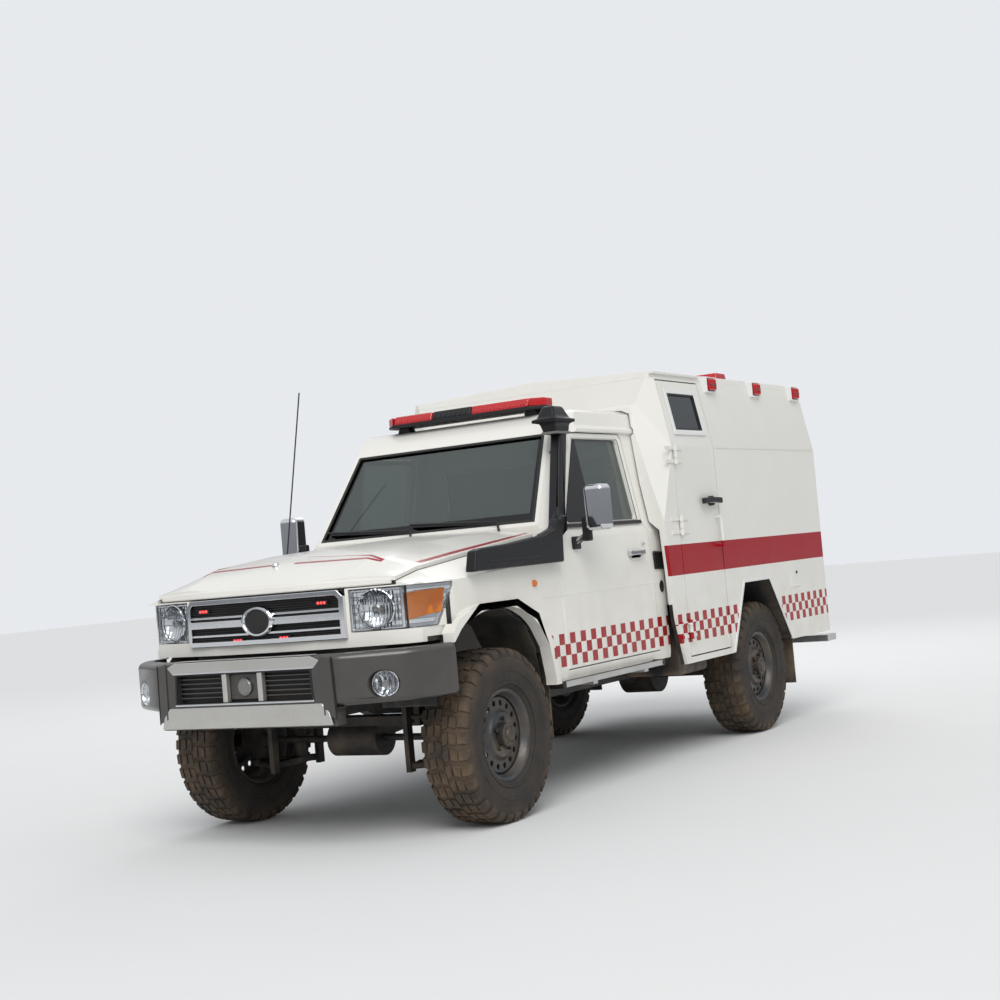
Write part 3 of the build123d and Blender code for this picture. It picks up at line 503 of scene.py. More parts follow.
@dataclass(frozen=True)
class Screen(Finish):
    """Tinted glass with the black border of the windscreen."""

    def pattern(self, graph: Graph, colour: bpy.types.NodeSocket) -> bpy.types.NodeSocket:
        """Darkens the border of the windscreen only.

        Args:
            graph: Tree of the material.
            colour: Colour under it.

        Returns:
            The colour with its border.
        """
        front = graph.less(graph.y, AXLE + 1.2)
        lean = graph.math("ADD", graph.side, graph.times(graph.z, 0.153))
        inner = graph.times(graph.band(graph.z, 1.472, 1.872), graph.less(lean, 0.872))
        return graph.mix(graph.times(front, graph.math("SUBTRACT", 1.0, inner)), colour, (0.004, 0.004, 0.004))


class Stock(Enum):
    """Every finish on the vehicle."""

    CAB = Livery("cab_white", "cab_paint", (0.79, 0.772, 0.715), 0.24, coat=0.2, mottling=0.025, grit=0.004,
                 dust=0.26, shine=0.25, uneven=0.012, hood_lines=True)
    # the module's inner faces up to 0.9 m high also go near black: partly underseal, partly painted shade
    BODY = Livery("module_white", "body_paint", (0.765, 0.750, 0.70), 0.34, coat=0.08, mottling=0.03, grit=0.005,
                  dust=0.24, shine=0.25, uneven=0.02, skin=0.9, ends=(AXLE + 1.7, AXLE + 4.4),
                  stripe=(1.062, 1.238), dark_inside=0.905, dark_below=0.9)
    BUMPER = Finish("bumper_grey", "bumper_grey", (0.060, 0.056, 0.053), 0.34, 0.3, 0.4, 0.12, 900.0, 0.05, 0.12)
    SILVER = Finish("silver_paint", "bumper_grey", (0.56, 0.55, 0.52), 0.30, 0.7, 0.2, grain=160.0, grit=0.002,
                    dust=0.14, uneven=0.015)
    CHROME = Finish("bright_chrome", "bright_trim", (0.68, 0.69, 0.71), 0.07, 1.0, mottling=0.03, grit=0.004,
                    uneven=0.012)
    BOWL = Reflector("lamp_reflector", "lamp_lens", (0.62, 0.64, 0.67), 0.09, 1.0, mottling=0.1, grit=1.0)
    BLACK = Finish("black_plastic", "black_plastic", (0.013, 0.013, 0.014), 0.48, grain=1400.0, grit=0.2,
                   dust=0.12, shine=0.35)
    SNORKEL = Finish("grained_black", "black_plastic", (0.008, 0.008, 0.009), 0.38, grain=1100.0, grit=0.15,
                     dust=0.02, shine=0.3)
    RUBBER = Finish("seal_rubber", "black_plastic", (0.015, 0.015, 0.015), 0.65, grain=600.0, grit=0.2)
    FLAP = Finish("flap_rubber", "flap_rubber", (0.03, 0.029, 0.027), 0.7, grain=240.0, grit=0.3, dust=0.8)
    TYRE = Tread("tyre_rubber", "tyre_rubber", (0.019, 0.0175, 0.016), 0.8, grain=520.0, grit=0.35)
    RIM = Finish("wheel_grey", "wheel_steel", (0.045, 0.047, 0.050), 0.40, 0.25, 0.0, 0.2, 500.0, 0.15, 0.30)
    HUB = Finish("hub_black", "wheel_steel", (0.022, 0.022, 0.022), 0.45, 0.2, grain=400.0, grit=0.2, dust=0.25)
    STEEL = Finish("bare_steel", "bright_trim", (0.30, 0.295, 0.285), 0.34, 0.95, grain=800.0, grit=0.15, dust=0.15)
    CHASSIS = Finish("chassis_black", "", (0.02, 0.02, 0.021), 0.5, grain=420.0, grit=0.3, dust=0.25)
    AXLE_IRON = Finish("axle_iron", "", (0.026, 0.0255, 0.025), 0.6, 0.3, 0.0, 0.25, 260.0, 0.5, 0.28)
    ENGINE = Finish("cast_iron", "", (0.14, 0.14, 0.145), 0.55, 0.6, grain=200.0, grit=0.6)
    TANK = Finish("tank_black", "tank_plastic", (0.028, 0.028, 0.03), 0.55, grain=500.0, grit=0.3, dust=0.7)
    EXHAUST = Finish("exhaust_steel", "", (0.22, 0.19, 0.165), 0.5, 0.85, 0.0, 0.3, 150.0, 0.3, 0.4)
    ALLOY = Finish("tread_plate", "step_aluminium", (0.60, 0.60, 0.59), 0.36, 0.8, grain=600.0, grit=0.2, dust=0.3)
    GLASS = Screen("window_glass", "", (0.30, 0.36, 0.34), 0.03, mottling=0.02, grain=40.0, grit=0.001, clear=0.86,
                   uneven=0.008)
    DARK_GLASS = Finish("privacy_glass", "", (0.05, 0.06, 0.065), 0.05, mottling=0.02, grain=40.0, grit=0.001,
                        clear=0.55, uneven=0.01)
    LENS = Finish("lamp_lens", "lamp_lens", (0.97, 0.98, 0.98), 0.0, mottling=0.01, grit=0.002, clear=1.0)
    AMBER = Finish("amber_lens", "lamp_lens", (0.85, 0.23, 0.012), 0.2, 0.0, 0.5, 0.1, 240.0, 0.3, clear=0.25)
    RED = Finish("red_lens", "red_lens", (0.60, 0.012, 0.016), 0.16, 0.0, 0.5, 0.12, 260.0, 0.25, clear=0.22)
    DEEP_RED = Finish("deep_red_lens", "red_lens", (0.20, 0.003, 0.005), 0.2, 0.0, 0.3, 0.12, 260.0, 0.2)
    SPARK = Finish("red_strobe", "red_lens", (1.0, 0.05, 0.05), 0.3, glow=2.2)
    WHITE_PART = Finish("white_fitting", "body_paint", (0.76, 0.76, 0.74), 0.35, mottling=0.04, grit=0.08, dust=0.2)
    MIRROR = Finish("mirror_glass", "bright_trim", (0.72, 0.75, 0.78), 0.02, 1.0, mottling=0.01, grit=0.003)
    SEAT = Fabric("seat_cloth", "seat_fabric", (0.075, 0.078, 0.085), 0.9, grit=0.4)
    VINYL = Finish("blue_vinyl", "furniture_plastic", (0.045, 0.075, 0.13), 0.42, grain=420.0, grit=0.3)
    TRIM = Finish("cabin_plastic", "interior_plastic", (0.075, 0.077, 0.082), 0.6, grain=900.0, grit=0.35)
    CABINET = Finish("cabinet_white", "furniture_plastic", (0.66, 0.68, 0.68), 0.4, grit=0.06)
    UNDERSEAL = Finish("underseal", "chassis_black", (0.022, 0.022, 0.022), 0.75, grain=180.0, grit=0.5, dust=0.6)

    @property
    def material(self) -> bpy.types.Material:
        """Material of the finish, made once."""
        return bpy.data.materials.get(f"{self.value.name}_finish") or self.value.build()


def clear_selection() -> None:
    """Leaves edit mode and deselects everything."""
    if bpy.context.object and bpy.context.object.mode != "OBJECT":
        bpy.ops.object.mode_set(mode="OBJECT")
    bpy.ops.object.select_all(action="DESELECT")


def opened(data: bpy.types.Mesh) -> bmesh.types.BMesh:
    """Opens a mesh in edit mode with nothing selected.

    Args:
        data: The mesh, in edit mode.

    Returns:
        The open mesh.
    """
    mesh = bmesh.from_edit_mesh(data)
    for part in (*mesh.verts, *mesh.edges, *mesh.faces):
        part.select = False
    return mesh


class Piece:
    """One piece of the vehicle on the bench, shaped with Blender's own tools."""

    def __init__(self, made: bpy.types.Object, name: str) -> None:
        """Takes a mesh object in hand and names it.

        Args:
            made: The mesh object.
            name: Name of the piece.
        """
        self.made = made
        made.name = name
        made.data.name = name

    @classmethod
    def placed(cls, name: str) -> "Piece":
        """Takes the object that was just added, with its place in its mesh."""
        bpy.ops.object.transform_apply(location=True, rotation=True, scale=True)
        return cls(bpy.context.object, name)

    @classmethod
    def block(cls, name: str, low: Vector, high: Vector) -> "Piece":
        """Starts from a block between two corners.

        Args:
            name: Name of the piece.
            low: Lowest corner.
            high: Highest corner.

        Returns:
            The piece.
        """
        clear_selection()
        bpy.ops.mesh.primitive_cube_add(size=1.0, location=(low + high) / 2)
        bpy.context.object.scale = [abs(b - a) for a, b in zip(low, high)]
        return cls.placed(name)

    @classmethod
    def round(cls, name: str, centre: Vector, axis: Axis, radius: float, depth: float, sides: int = 40) -> "Piece":
        """Starts from a round bar about one axis.

        Args:
            name: Name of the piece.
            centre: Its middle.
            axis: Axis it lies along.
            radius: Radius of the bar.
            depth: Length of the bar.
            sides: Faces round it.

        Returns:
            The piece.
        """
        clear_selection()
        bpy.ops.mesh.primitive_cylinder_add(vertices=sides, radius=radius, depth=depth, location=centre,
                                            rotation=axis.turn)
        return cls.placed(name)

    @classmethod
    def ring(cls, name: str, centre: Vector, axis: Axis, radius: float, bar: float, sides: int = 64) -> "Piece":
        """Starts from a round ring about one axis.

        Args:
            name: Name of the piece.
            centre: Its middle.
            axis: Axis it goes round.
            radius: Radius to the middle of the bar.
            bar: Radius of the bar.
            sides: Steps round the ring.

        Returns:
            The piece.
        """
        clear_selection()
        bpy.ops.mesh.primitive_torus_add(major_radius=radius, minor_radius=bar, major_segments=sides,
                                         minor_segments=12, location=centre, rotation=axis.turn)
        return cls.placed(name)

    @classmethod
    def outline(cls, name: str, corners: Sequence[Vector], fill: str = "NGON") -> "Piece":
        """Starts from a circle whose points go to the corners of an outline.

        Args:
            name: Name of the piece.
            corners: Corners of the outline.
            fill: How Blender fills it.

        Returns:
            The piece.
        """
        clear_selection()
        bpy.ops.mesh.primitive_circle_add(vertices=len(corners), fill_type=fill)
        made = bpy.context.object
        for vertex, corner in zip(made.data.vertices, corners):
            vertex.co = corner
        return cls(made, name)

    @classmethod
    def plate(cls, name: str, corners: Sequence[Vector], depth: Vector) -> "Piece":
        """Starts from a flat outline and extrudes it."""
        return cls.outline(name, corners).extrude(depth)

    @classmethod
    def frame_of(cls, name: str, corners: Sequence[Vector], width: float, depth: Vector) -> "Piece":
        """Makes a flat frame inside an outline.

        Args:
            name: Name of the piece.
            corners: Outer outline.
            width: Width of the frame's bars.
            depth: Extrusion that gives the frame its thickness.

        Returns:
            The frame.
        """
        made = cls.outline(name, corners)
        with made:
            bpy.ops.mesh.select_all(action="SELECT")
            bpy.ops.mesh.inset(thickness=width, depth=0.0)
            bpy.ops.mesh.delete(type="FACE")
        return made.extrude(depth)

    @classmethod
    def turned(cls, name: str, profile: Sequence[tuple[float, float]], centre: Vector, axis: Axis,
               steps: int = 64) -> "Piece":
        """Turns a closed profile about an axis.

        Args:
            name: Name of the piece.
            profile: Points as offset along the axis and radius.
            centre: Middle of the turning.
            axis: Axis to turn about.
            steps: Steps of the full turn.

        Returns:
            The turned piece.
        """
        along = Vector(axis.value)
        out = ACROSS if axis is Axis.Z else UP
        made = cls.outline(name, [centre + along * a + out * r for a, r in profile], "NOTHING")
        with made:
            bpy.ops.mesh.select_all(action="SELECT")
            bpy.ops.mesh.spin(steps=steps, angle=math.tau, center=centre, axis=along)
            bpy.ops.mesh.select_all(action="SELECT")
            bpy.ops.mesh.remove_doubles(threshold=0.00005)
        return made.outward()

    @classmethod
    def copy_of(cls, frame: dict, node: str) -> "Piece":
        """Takes a merged copy of a node's mesh, with its flat faces whole.

        Args:
            frame: The loaded frame.
            node: Name of the node.

        Returns:
            The copy.
        """
        clear_selection()
        made = bpy.data.objects.new(node, frame["nodes"][node].data.copy())
        bpy.context.scene.collection.objects.link(made)
        made.data.materials.clear()
        piece = cls(made, f"{node}_finished").hold()
        bpy.ops.mesh.customdata_custom_splitnormals_clear()
        with piece:
            bpy.ops.mesh.select_all(action="SELECT")
            bpy.ops.mesh.remove_doubles(threshold=0.00003)
            bpy.ops.mesh.dissolve_limited(angle_limit=math.radians(0.6))
            bpy.ops.mesh.select_all(action="SELECT")
            bpy.ops.mesh.vert_connect_concave()
        return piece

    def hold(self) -> "Piece":
        """Makes the piece the only selected one.

        Returns:
            The piece.
        """
        clear_selection()
        self.made.select_set(True)
        bpy.context.view_layer.objects.active = self.made
        return self

    def __enter__(self) -> "Piece":
        """Puts the piece alone in edit mode.

        Returns:
            The piece.
        """
        self.hold()
        bpy.ops.object.mode_set(mode="EDIT")
        bpy.ops.mesh.select_mode(type="FACE" if self.made.data.polygons else "VERT")
        return self

    def __exit__(self, *failure: object) -> None:
        """Leaves edit mode."""
        bpy.ops.object.mode_set(mode="OBJECT")

    def extrude(self, depth: Vector) -> "Piece":
        """Gives a flat form its thickness.

        Args:
            depth: Way and length.

        Returns:
            The piece.
        """
        with self:
            bpy.ops.mesh.select_all(action="SELECT")
            bpy.ops.mesh.extrude_region_move(TRANSFORM_OT_translate={"value": depth})
        return self.outward()

    def outward(self) -> "Piece":
        """Turns every face outward.

        Returns:
            The piece.
        """
        with self:
            bpy.ops.mesh.select_all(action="SELECT")
            bpy.ops.mesh.normals_make_consistent(inside=False)
        return self

    def pick(self, test: Callable[[Vector, Vector], bool]) -> None:
        """Selects in edit mode the faces whose middle and normal pass a test.

        Args:
            test: Says by middle and normal whether a face is meant.
        """
        for face in opened(self.made.data).faces:
            if test(face.calc_center_median(), face.normal):
                face.select_set(True)
        bmesh.update_edit_mesh(self.made.data)

    def sink(self, way: Vector, border: float, depth: float) -> "Piece":
        """Insets the faces that look one way and moves them in or out along their normal.

        Args:
            way: The direction.
            border: Width that stays.
            depth: Distance along the normal.

        Returns:
            The piece.
        """
        with self:
            self.pick(lambda c, n: n.dot(way) > FACING)
            bpy.ops.mesh.inset(thickness=border, depth=0.0, use_individual=True)
            bpy.ops.mesh.inset(thickness=0.0005, depth=depth, use_individual=True)
        return self

    def squeeze(self, way: Vector, share: tuple[float, float, float], centre: Vector) -> "Piece":
        """Makes the faces that look one way smaller, round a centre.

        Args:
            way: The direction.
            share: Scale along each axis.
            centre: Point that stays.

        Returns:
            The piece.
        """
        with self:
            self.pick(lambda c, n: n.dot(way) > FACING)
            bpy.ops.transform.resize(value=share, center_override=centre)
        return self

    def round_edges(self, test: Callable[[bmesh.types.BMEdge], bool], width: float, segments: int) -> "Piece":
        """Rounds in edit mode the edges that pass a test.

        Args:
            test: Says whether an edge is rounded.
            width: Width of the rounding.
            segments: Steps of the rounding.

        Returns:
            The piece.
        """
        with self:
            bpy.ops.mesh.select_mode(type="EDGE")
            for edge in opened(self.made.data).edges:
                if len(edge.link_faces) == 2 and test(edge):
                    edge.select_set(True)
            bmesh.update_edit_mesh(self.made.data)
            bpy.ops.mesh.bevel(offset=width, segments=segments, affect="EDGES", clamp_overlap=False)
        return self

    def soften(self, width: float, segments: int = 2, angle: float = 32.0, shortest: float = 0.0) -> "Piece":
        """Rounds the sharp edges and smooths the shading.

        Args:
            width: Width of the rounding.
            segments: Steps of the rounding.
            angle: Smallest angle between faces, in degrees, that is rounded.
            shortest: Edges shorter than this stay sharp.

        Returns:
            The piece.
        """
        if shortest:
            mesh = bmesh.new()
            mesh.from_mesh(self.made.data)
            weight = mesh.edges.layers.float.new("bevel_weight_edge")
            for edge in mesh.edges:
                bent = len(edge.link_faces) == 2 and edge.calc_face_angle(0.0) > math.radians(angle)
                edge[weight] = 1.0 if bent and edge.calc_length() > shortest else 0.0
            mesh.to_mesh(self.made.data)
            mesh.free()
        self.apply("BEVEL", width=width, segments=segments, limit_method="WEIGHT" if shortest else "ANGLE",
                   angle_limit=math.radians(angle), use_clamp_overlap=not shortest, miter_outer="MITER_ARC")
        return self.shade(50.0).apply("WEIGHTED_NORMAL", keep_sharp=True)

    def shade(self, angle: float = 32.0) -> "Piece":
        """Smooths the shading below an angle.

        Args:
            angle: The angle, in degrees.

        Returns:
            The piece.
        """
        self.hold()
        bpy.ops.object.shade_smooth_by_angle(angle=math.radians(angle))
        return self

    def apply(self, kind: str, **settings: object) -> "Piece":
        """Adds a modifier and applies it.

        Args:
            kind: Type of the modifier.
            settings: Its properties.

        Returns:
            The piece.
        """
        self.hold()
        made = self.made.modifiers.new(kind.lower(), kind)
        for key, value in settings.items():
            setattr(made, key, value)
        bpy.ops.object.modifier_apply(modifier=made.name)
        return self

    def pierce(self, tool: "Piece") -> "Piece":
        """Cuts the form of a tool out of the piece and puts the tool away.

        Args:
            tool: Form to cut out.

        Returns:
            The piece.
        """
        self.apply("BOOLEAN", operation="DIFFERENCE", object=tool.made, solver="EXACT")
        bpy.data.objects.remove(tool.made)
        return self

    def row(self, count: int, step: Vector) -> "Piece":
        """Repeats the piece in a row."""
        return self.apply("ARRAY", count=count, use_relative_offset=False, use_constant_offset=True,
                          constant_offset_displace=step)

    def move(self, change: Matrix) -> "Piece":
        """Moves the piece in its mesh.

        Args:
            change: The change.

        Returns:
            The piece.
        """
        self.made.data.transform(change)
        if change.determinant() < 0:
            self.made.data.flip_normals()
        return self

    def bend(self, place: Callable[[Vector], Vector]) -> "Piece":
        """Moves each point by a rule.

        Args:
            place: Gives the new place of a point.

        Returns:
            The piece.
        """
        for vertex in self.made.data.vertices:
            vertex.co = place(vertex.co)
        self.made.data.update()
        return self

    def split(self, cuts: int) -> "Piece":
        """Subdivides all edges.

        Args:
            cuts: Cuts in each edge.

        Returns:
            The piece.
        """
        with self:
            bpy.ops.mesh.select_all(action="SELECT")
            bpy.ops.mesh.subdivide(number_cuts=cuts)
        return self

    def twin(self, name: str, change: Matrix = FLIP) -> "Piece":
        """Copies the piece with its own mesh, mirrored across the vehicle unless told otherwise.

        Args:
            name: Name of the copy.
            change: Change from the piece to its copy.

        Returns:
            The copy.
        """
        made = self.made.copy()
        made.data = self.made.data.copy()
        bpy.context.scene.collection.objects.link(made)
        return Piece(made, name).move(change)

    def join(self, *others: "Piece") -> "Piece":
        """Joins other pieces into this one.

        Args:
            others: Pieces that go into this one.

        Returns:
            The piece.
        """
        self.hold()
        for other in others:
            other.made.select_set(True)
        bpy.ops.object.join()
        return self

    def around(self, count: int, centre: Vector, axis: Axis) -> "Piece":
        """Repeats the piece round an axis.

        Args:
            count: Number of pieces in the full turn.
            centre: Point on the axis.
            axis: The axis.

        Returns:
            The piece.
        """
        turns = [Matrix.Rotation(math.tau * index / count, 4, Vector(axis.value)) for index in range(1, count)]
        return self.join(*[self.twin(f"{self.made.name}_{index}", about(centre, turn))
                           for index, turn in enumerate(turns, 1)])

    def dress(self, stock: Stock, body: str = VEHICLE, slot: str = "", node: str = "") -> "Piece":
        """Gives the piece its finish and its body.

        Args:
            stock: Finish of the piece.
            body: Body it rides on.
            slot: Material slot of the record, where it isn't the finish's own. It is not used.
            node: Node it stands for.

        Returns:
            The piece.
        """
        if not self.made.data.materials:
            self.made.data.materials.append(stock.material)
        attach(self.made, body)
        if node:
            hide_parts(node)
        log.info("%s rides on %s", self.made.name, body)
        return self

    def repaint(self, stock: Stock, test: Callable[[Vector, Vector], bool]) -> "Piece":
        """Gives the faces that pass a test another finish.

        Args:
            stock: The other finish.
            test: Says by middle and normal whether a face is meant.

        Returns:
            The piece.
        """
        self.made.data.materials.append(stock.material)
        index = len(self.made.data.materials) - 1
        for face in self.made.data.polygons:
            if test(face.center, face.normal):
                face.material_index = index
        return self


def lay_on(frame: dict, node: str, stock: Stock) -> None:
    """Gives a node of the frame its finish.

    Args:
        frame: The loaded frame.
        node: Name of the node.
        stock: The finish.
    """
    materials = frame["nodes"][node].data.materials
    materials.clear()
    materials.append(stock.material)


def soft_node(frame: dict, node: str, stock: Stock, width: float, segments: int = 2, angle: float = 32.0,
              body: str = VEHICLE) -> Piece:
    """Stands a copy of a node with rounded edges in its place.

    Args:
        frame: The loaded frame.
        node: Name of the node.
        stock: Its finish.
        width: Width of the rounding.
        segments: Steps of the rounding.
        angle: Angle between faces that counts as an edge.
        body: Body it rides on.

    Returns:
        The copy.
    """
    return Piece.copy_of(frame, node).soften(width, segments, angle).dress(stock, body, node=node)


def blocks(side: Side, rows: Iterable[tuple], body: str = VEHICLE) -> None:
    """Models plain rounded blocks on one side of the vehicle.

    Args:
        side: The side.
        rows: For each block its name, low and high corner, finish, and the width and steps of its rounding.
        body: Body they ride on.
    """
    for name, low, high, stock, width, steps in rows:
        made = Piece.block(name.format(side.tag), side.at(*low), side.at(*high))
        made.soften(width, steps).dress(stock, body)


HUB = spot(TRACKS["front"][0], 0.0, HUB_Z)


@dataclass
class Tyre:
    """All-terrain tyre of the left front wheel: a turned carcass with tread blocks on it."""

    radius: float = 0.415
    base: float = 0.4045
    count: int = 34
    profile: tuple[tuple[float, float], ...] = (
        (0.088, 0.2062), (0.100, 0.2225), (0.1085, 0.2285), (0.1185, 0.246), (0.1262, 0.276), (0.1300, 0.312),
        (0.1300, 0.336), (0.1262, 0.362), (0.1178, 0.3845), (0.1075, 0.3965), (0.0900, 0.4035), (0.0450, 0.4055))
    shoulder: tuple[tuple[float, float], ...] = (
        (0.086, 0.400), (0.086, 0.4128), (0.1085, 0.4085), (0.1195, 0.399), (0.1285, 0.373), (0.1245, 0.366),
        (0.114, 0.388), (0.106, 0.395))

    def tread_block(self, name: str, x: float, width: float, length: float, slant: float) -> Piece:
        """Models one tread block at the top of the wheel.

        Args:
            name: Name of the block.
            x: Place across the tread.
            width: Width across the tread.
            length: Length along the tread.
            slant: Shift along the tread between its two sides.

        Returns:
            The block.
        """
        made = Piece.block(name, HUB + Vector((x - width / 2, -length / 2, self.base - 0.006)),
                           HUB + Vector((x + width / 2, length / 2, self.radius - 0.0008)))
        crown = 55.0
        made.bend(lambda p: Vector((p.x, p.y + slant * (p.x - HUB.x - x) / width, p.z - crown * (p.x - HUB.x) ** 4)))
        return made.soften(0.0018, 1)

    def shoulder_block(self, name: str, length: float) -> Piece:
        """Models one shoulder block, which wraps over the tyre's edge."""
        corners = [HUB + Vector((a, -length / 2, r)) for a, r in self.shoulder]
        return Piece.plate(name, corners, BACK * length).soften(0.0015, 1)

    def rings(self) -> Piece:
        """Turns the raised rings on the side wall.

        Returns:
            Both rings.
        """
        ring, low = (Piece.turned(name, profile, HUB, Axis.X, 96) for name, profile in (
            ("side_ring", [(0.1285, 0.300), (0.1318, 0.303), (0.1318, 0.307), (0.1285, 0.310)]),
            ("bead_ring", [(0.119, 0.240), (0.1225, 0.243), (0.1235, 0.249), (0.1205, 0.252)])))
        return ring.join(low)

    def build(self) -> Piece:
        """Joins the carcass, its rings and all tread blocks.

        Returns:
            The tyre.
        """
        pitch = math.tau * self.radius / self.count
        rows = [self.tread_block("crown_a", 0.018, 0.030, pitch * 0.72, 0.008),
                self.tread_block("crown_b", 0.060, 0.036, pitch * 0.66, -0.010),
                self.shoulder_block("shoulder", pitch * 0.62)]
        half_pitch = Matrix.Rotation(math.pi / self.count, 4, ACROSS)
        rows += [row.twin(f"{row.made.name}_far", about(HUB, FLIP @ half_pitch)) for row in rows]
        lugs = [row.around(self.count, HUB, Axis.X) for row in rows]
        rings = self.rings()
        half = list(self.profile)
        carcass = Piece.turned("tyre_carcass", half + [(0.0, 0.4062)] + [(-a, r) for a, r in reversed(half)], HUB,
                               Axis.X, 96)
        tyre = carcass.join(*lugs, rings, rings.twin("rings_far", about(HUB, FLIP))).shade(38)
        reach = tyre.made.data.attributes.new("reach", "FLOAT", "POINT")
        for vertex, value in zip(tyre.made.data.vertices, reach.data):
            value.value = math.hypot(vertex.co.y - HUB.y, vertex.co.z - HUB.z)
        return tyre


@dataclass
class Rim:
    """Steel rim of the left front wheel: rolled lips, a disc with a ring of holes, nuts and a hub."""

    lip: tuple[tuple[float, float], ...] = (
        (0.062, 0.188), (0.070, 0.196), (0.0925, 0.2005), (0.0985, 0.2105), (0.1005, 0.2175), (0.0985, 0.2212),
        (0.0945, 0.2195), (0.0915, 0.2085), (0.080, 0.2048), (0.060, 0.2035))
    well: tuple[tuple[float, float], ...] = (
        (-0.085, 0.2035), (-0.03, 0.2000), (0.02, 0.196), (0.085, 0.2035), (0.085, 0.1995), (0.02, 0.192),
        (-0.03, 0.196), (-0.085, 0.1995))
    dish: tuple[tuple[float, float], ...] = (
        (0.0455, 0.199), (0.050, 0.188), (0.0585, 0.178), (0.0585, 0.128), (0.062, 0.118), (0.078, 0.106),
        (0.082, 0.094), (0.080, 0.061), (0.074, 0.061), (0.074, 0.092), (0.070, 0.100), (0.055, 0.112),
        (0.0505, 0.124), (0.0505, 0.176), (0.044, 0.184), (0.040, 0.196))
    bore: tuple[tuple[float, float], ...] = (
        (0.060, 0.0595), (0.112, 0.0575), (0.118, 0.050), (0.120, 0.034), (0.126, 0.030), (0.130, ON_AXIS),
        (0.100, ON_AXIS), (0.100, 0.030), (0.060, 0.030))

    def build(self) -> list[Piece]:
        """Models the rim.

        Returns:
            Rim, hub and nuts.
        """
        lips, well, disc, hub = (Piece.turned(name, profile, HUB, Axis.X, steps) for name, profile, steps in (
            ("rim_lips", self.lip, 72), ("rim_well", self.well, 72), ("rim_disc", self.dish, 96),
            ("hub", self.bore, 48)))
        lips.join(lips.twin("far_lip", about(HUB, FLIP)))
        hole = Piece.round("vent_hole", HUB + Vector((0.052, 0, 0.152)), Axis.X, 0.0145, 0.05, 20)
        disc.pierce(hole.around(16, HUB, Axis.X)).soften(0.0016, 2, 34)
        hub.soften(0.002, 2, 30)
        nut = Piece.round("wheel_nut", HUB + Vector((0.0865, 0, 0.077)), Axis.X, 0.0125, 0.022, 6)
        nut.soften(0.002, 2)
        bolt = Piece.round("hub_bolt", HUB + Vector((0.1195, 0, 0.041)), Axis.X, 0.0055, 0.006, 6)
        bolt.soften(0.001, 1)
        nuts = nut.around(5, HUB, Axis.X).join(bolt.around(6, HUB, Axis.X))
        return [lips.join(well, disc).shade(36), hub, nuts.shade()]


@dataclass
class Wheels:
    """Four wheels, copied from one."""

    corners: tuple[str, ...] = ("front_left", "front_right", "rear_left", "rear_right")
    turn: float = 0.37  # turn of a wheel for each letter of its corner's name, so that they stand differently

    def change(self, corner: str) -> Matrix:
        """Gives the change from the left front wheel to another corner.

        Args:
            corner: Axle and side of the wheel.

        Returns:
            The change.
        """
        axle, side = corner.split("_")
        x, station = TRACKS[axle]
        turn = Matrix.Rotation(self.turn * len(corner), 4, ACROSS)
        change = Matrix.Translation(spot(x, station, HUB_Z)) @ turn @ Matrix.Translation(-HUB)
        return FLIP @ change if side == "right" else change

    def build(self) -> None:
        """Models one wheel and copies it to the four corners."""
        tyre = Tyre().build()
        parts = Rim().build()
        for corner in self.corners:
            change = self.change(corner)
            body = f"wheel_{corner}"
            tyre.twin(f"tyre_{corner}_dressed", change).dress(Stock.TYRE, body, node=f"tyre_{corner}")
            for part, stock, node in zip(parts, (Stock.RIM, Stock.HUB, Stock.HUB), (f"rim_{corner}", "", "")):
                part.twin(f"{part.made.name}_{corner}", change).dress(stock, body, node=node)
        for piece in (tyre, *parts):
            bpy.data.objects.remove(piece.made)


def nose_bend(point: Vector) -> Vector:
    """Moves a point back to follow the curve of the nose."""
    return Vector((point.x, point.y + 0.19 * point.x ** 2, point.z))


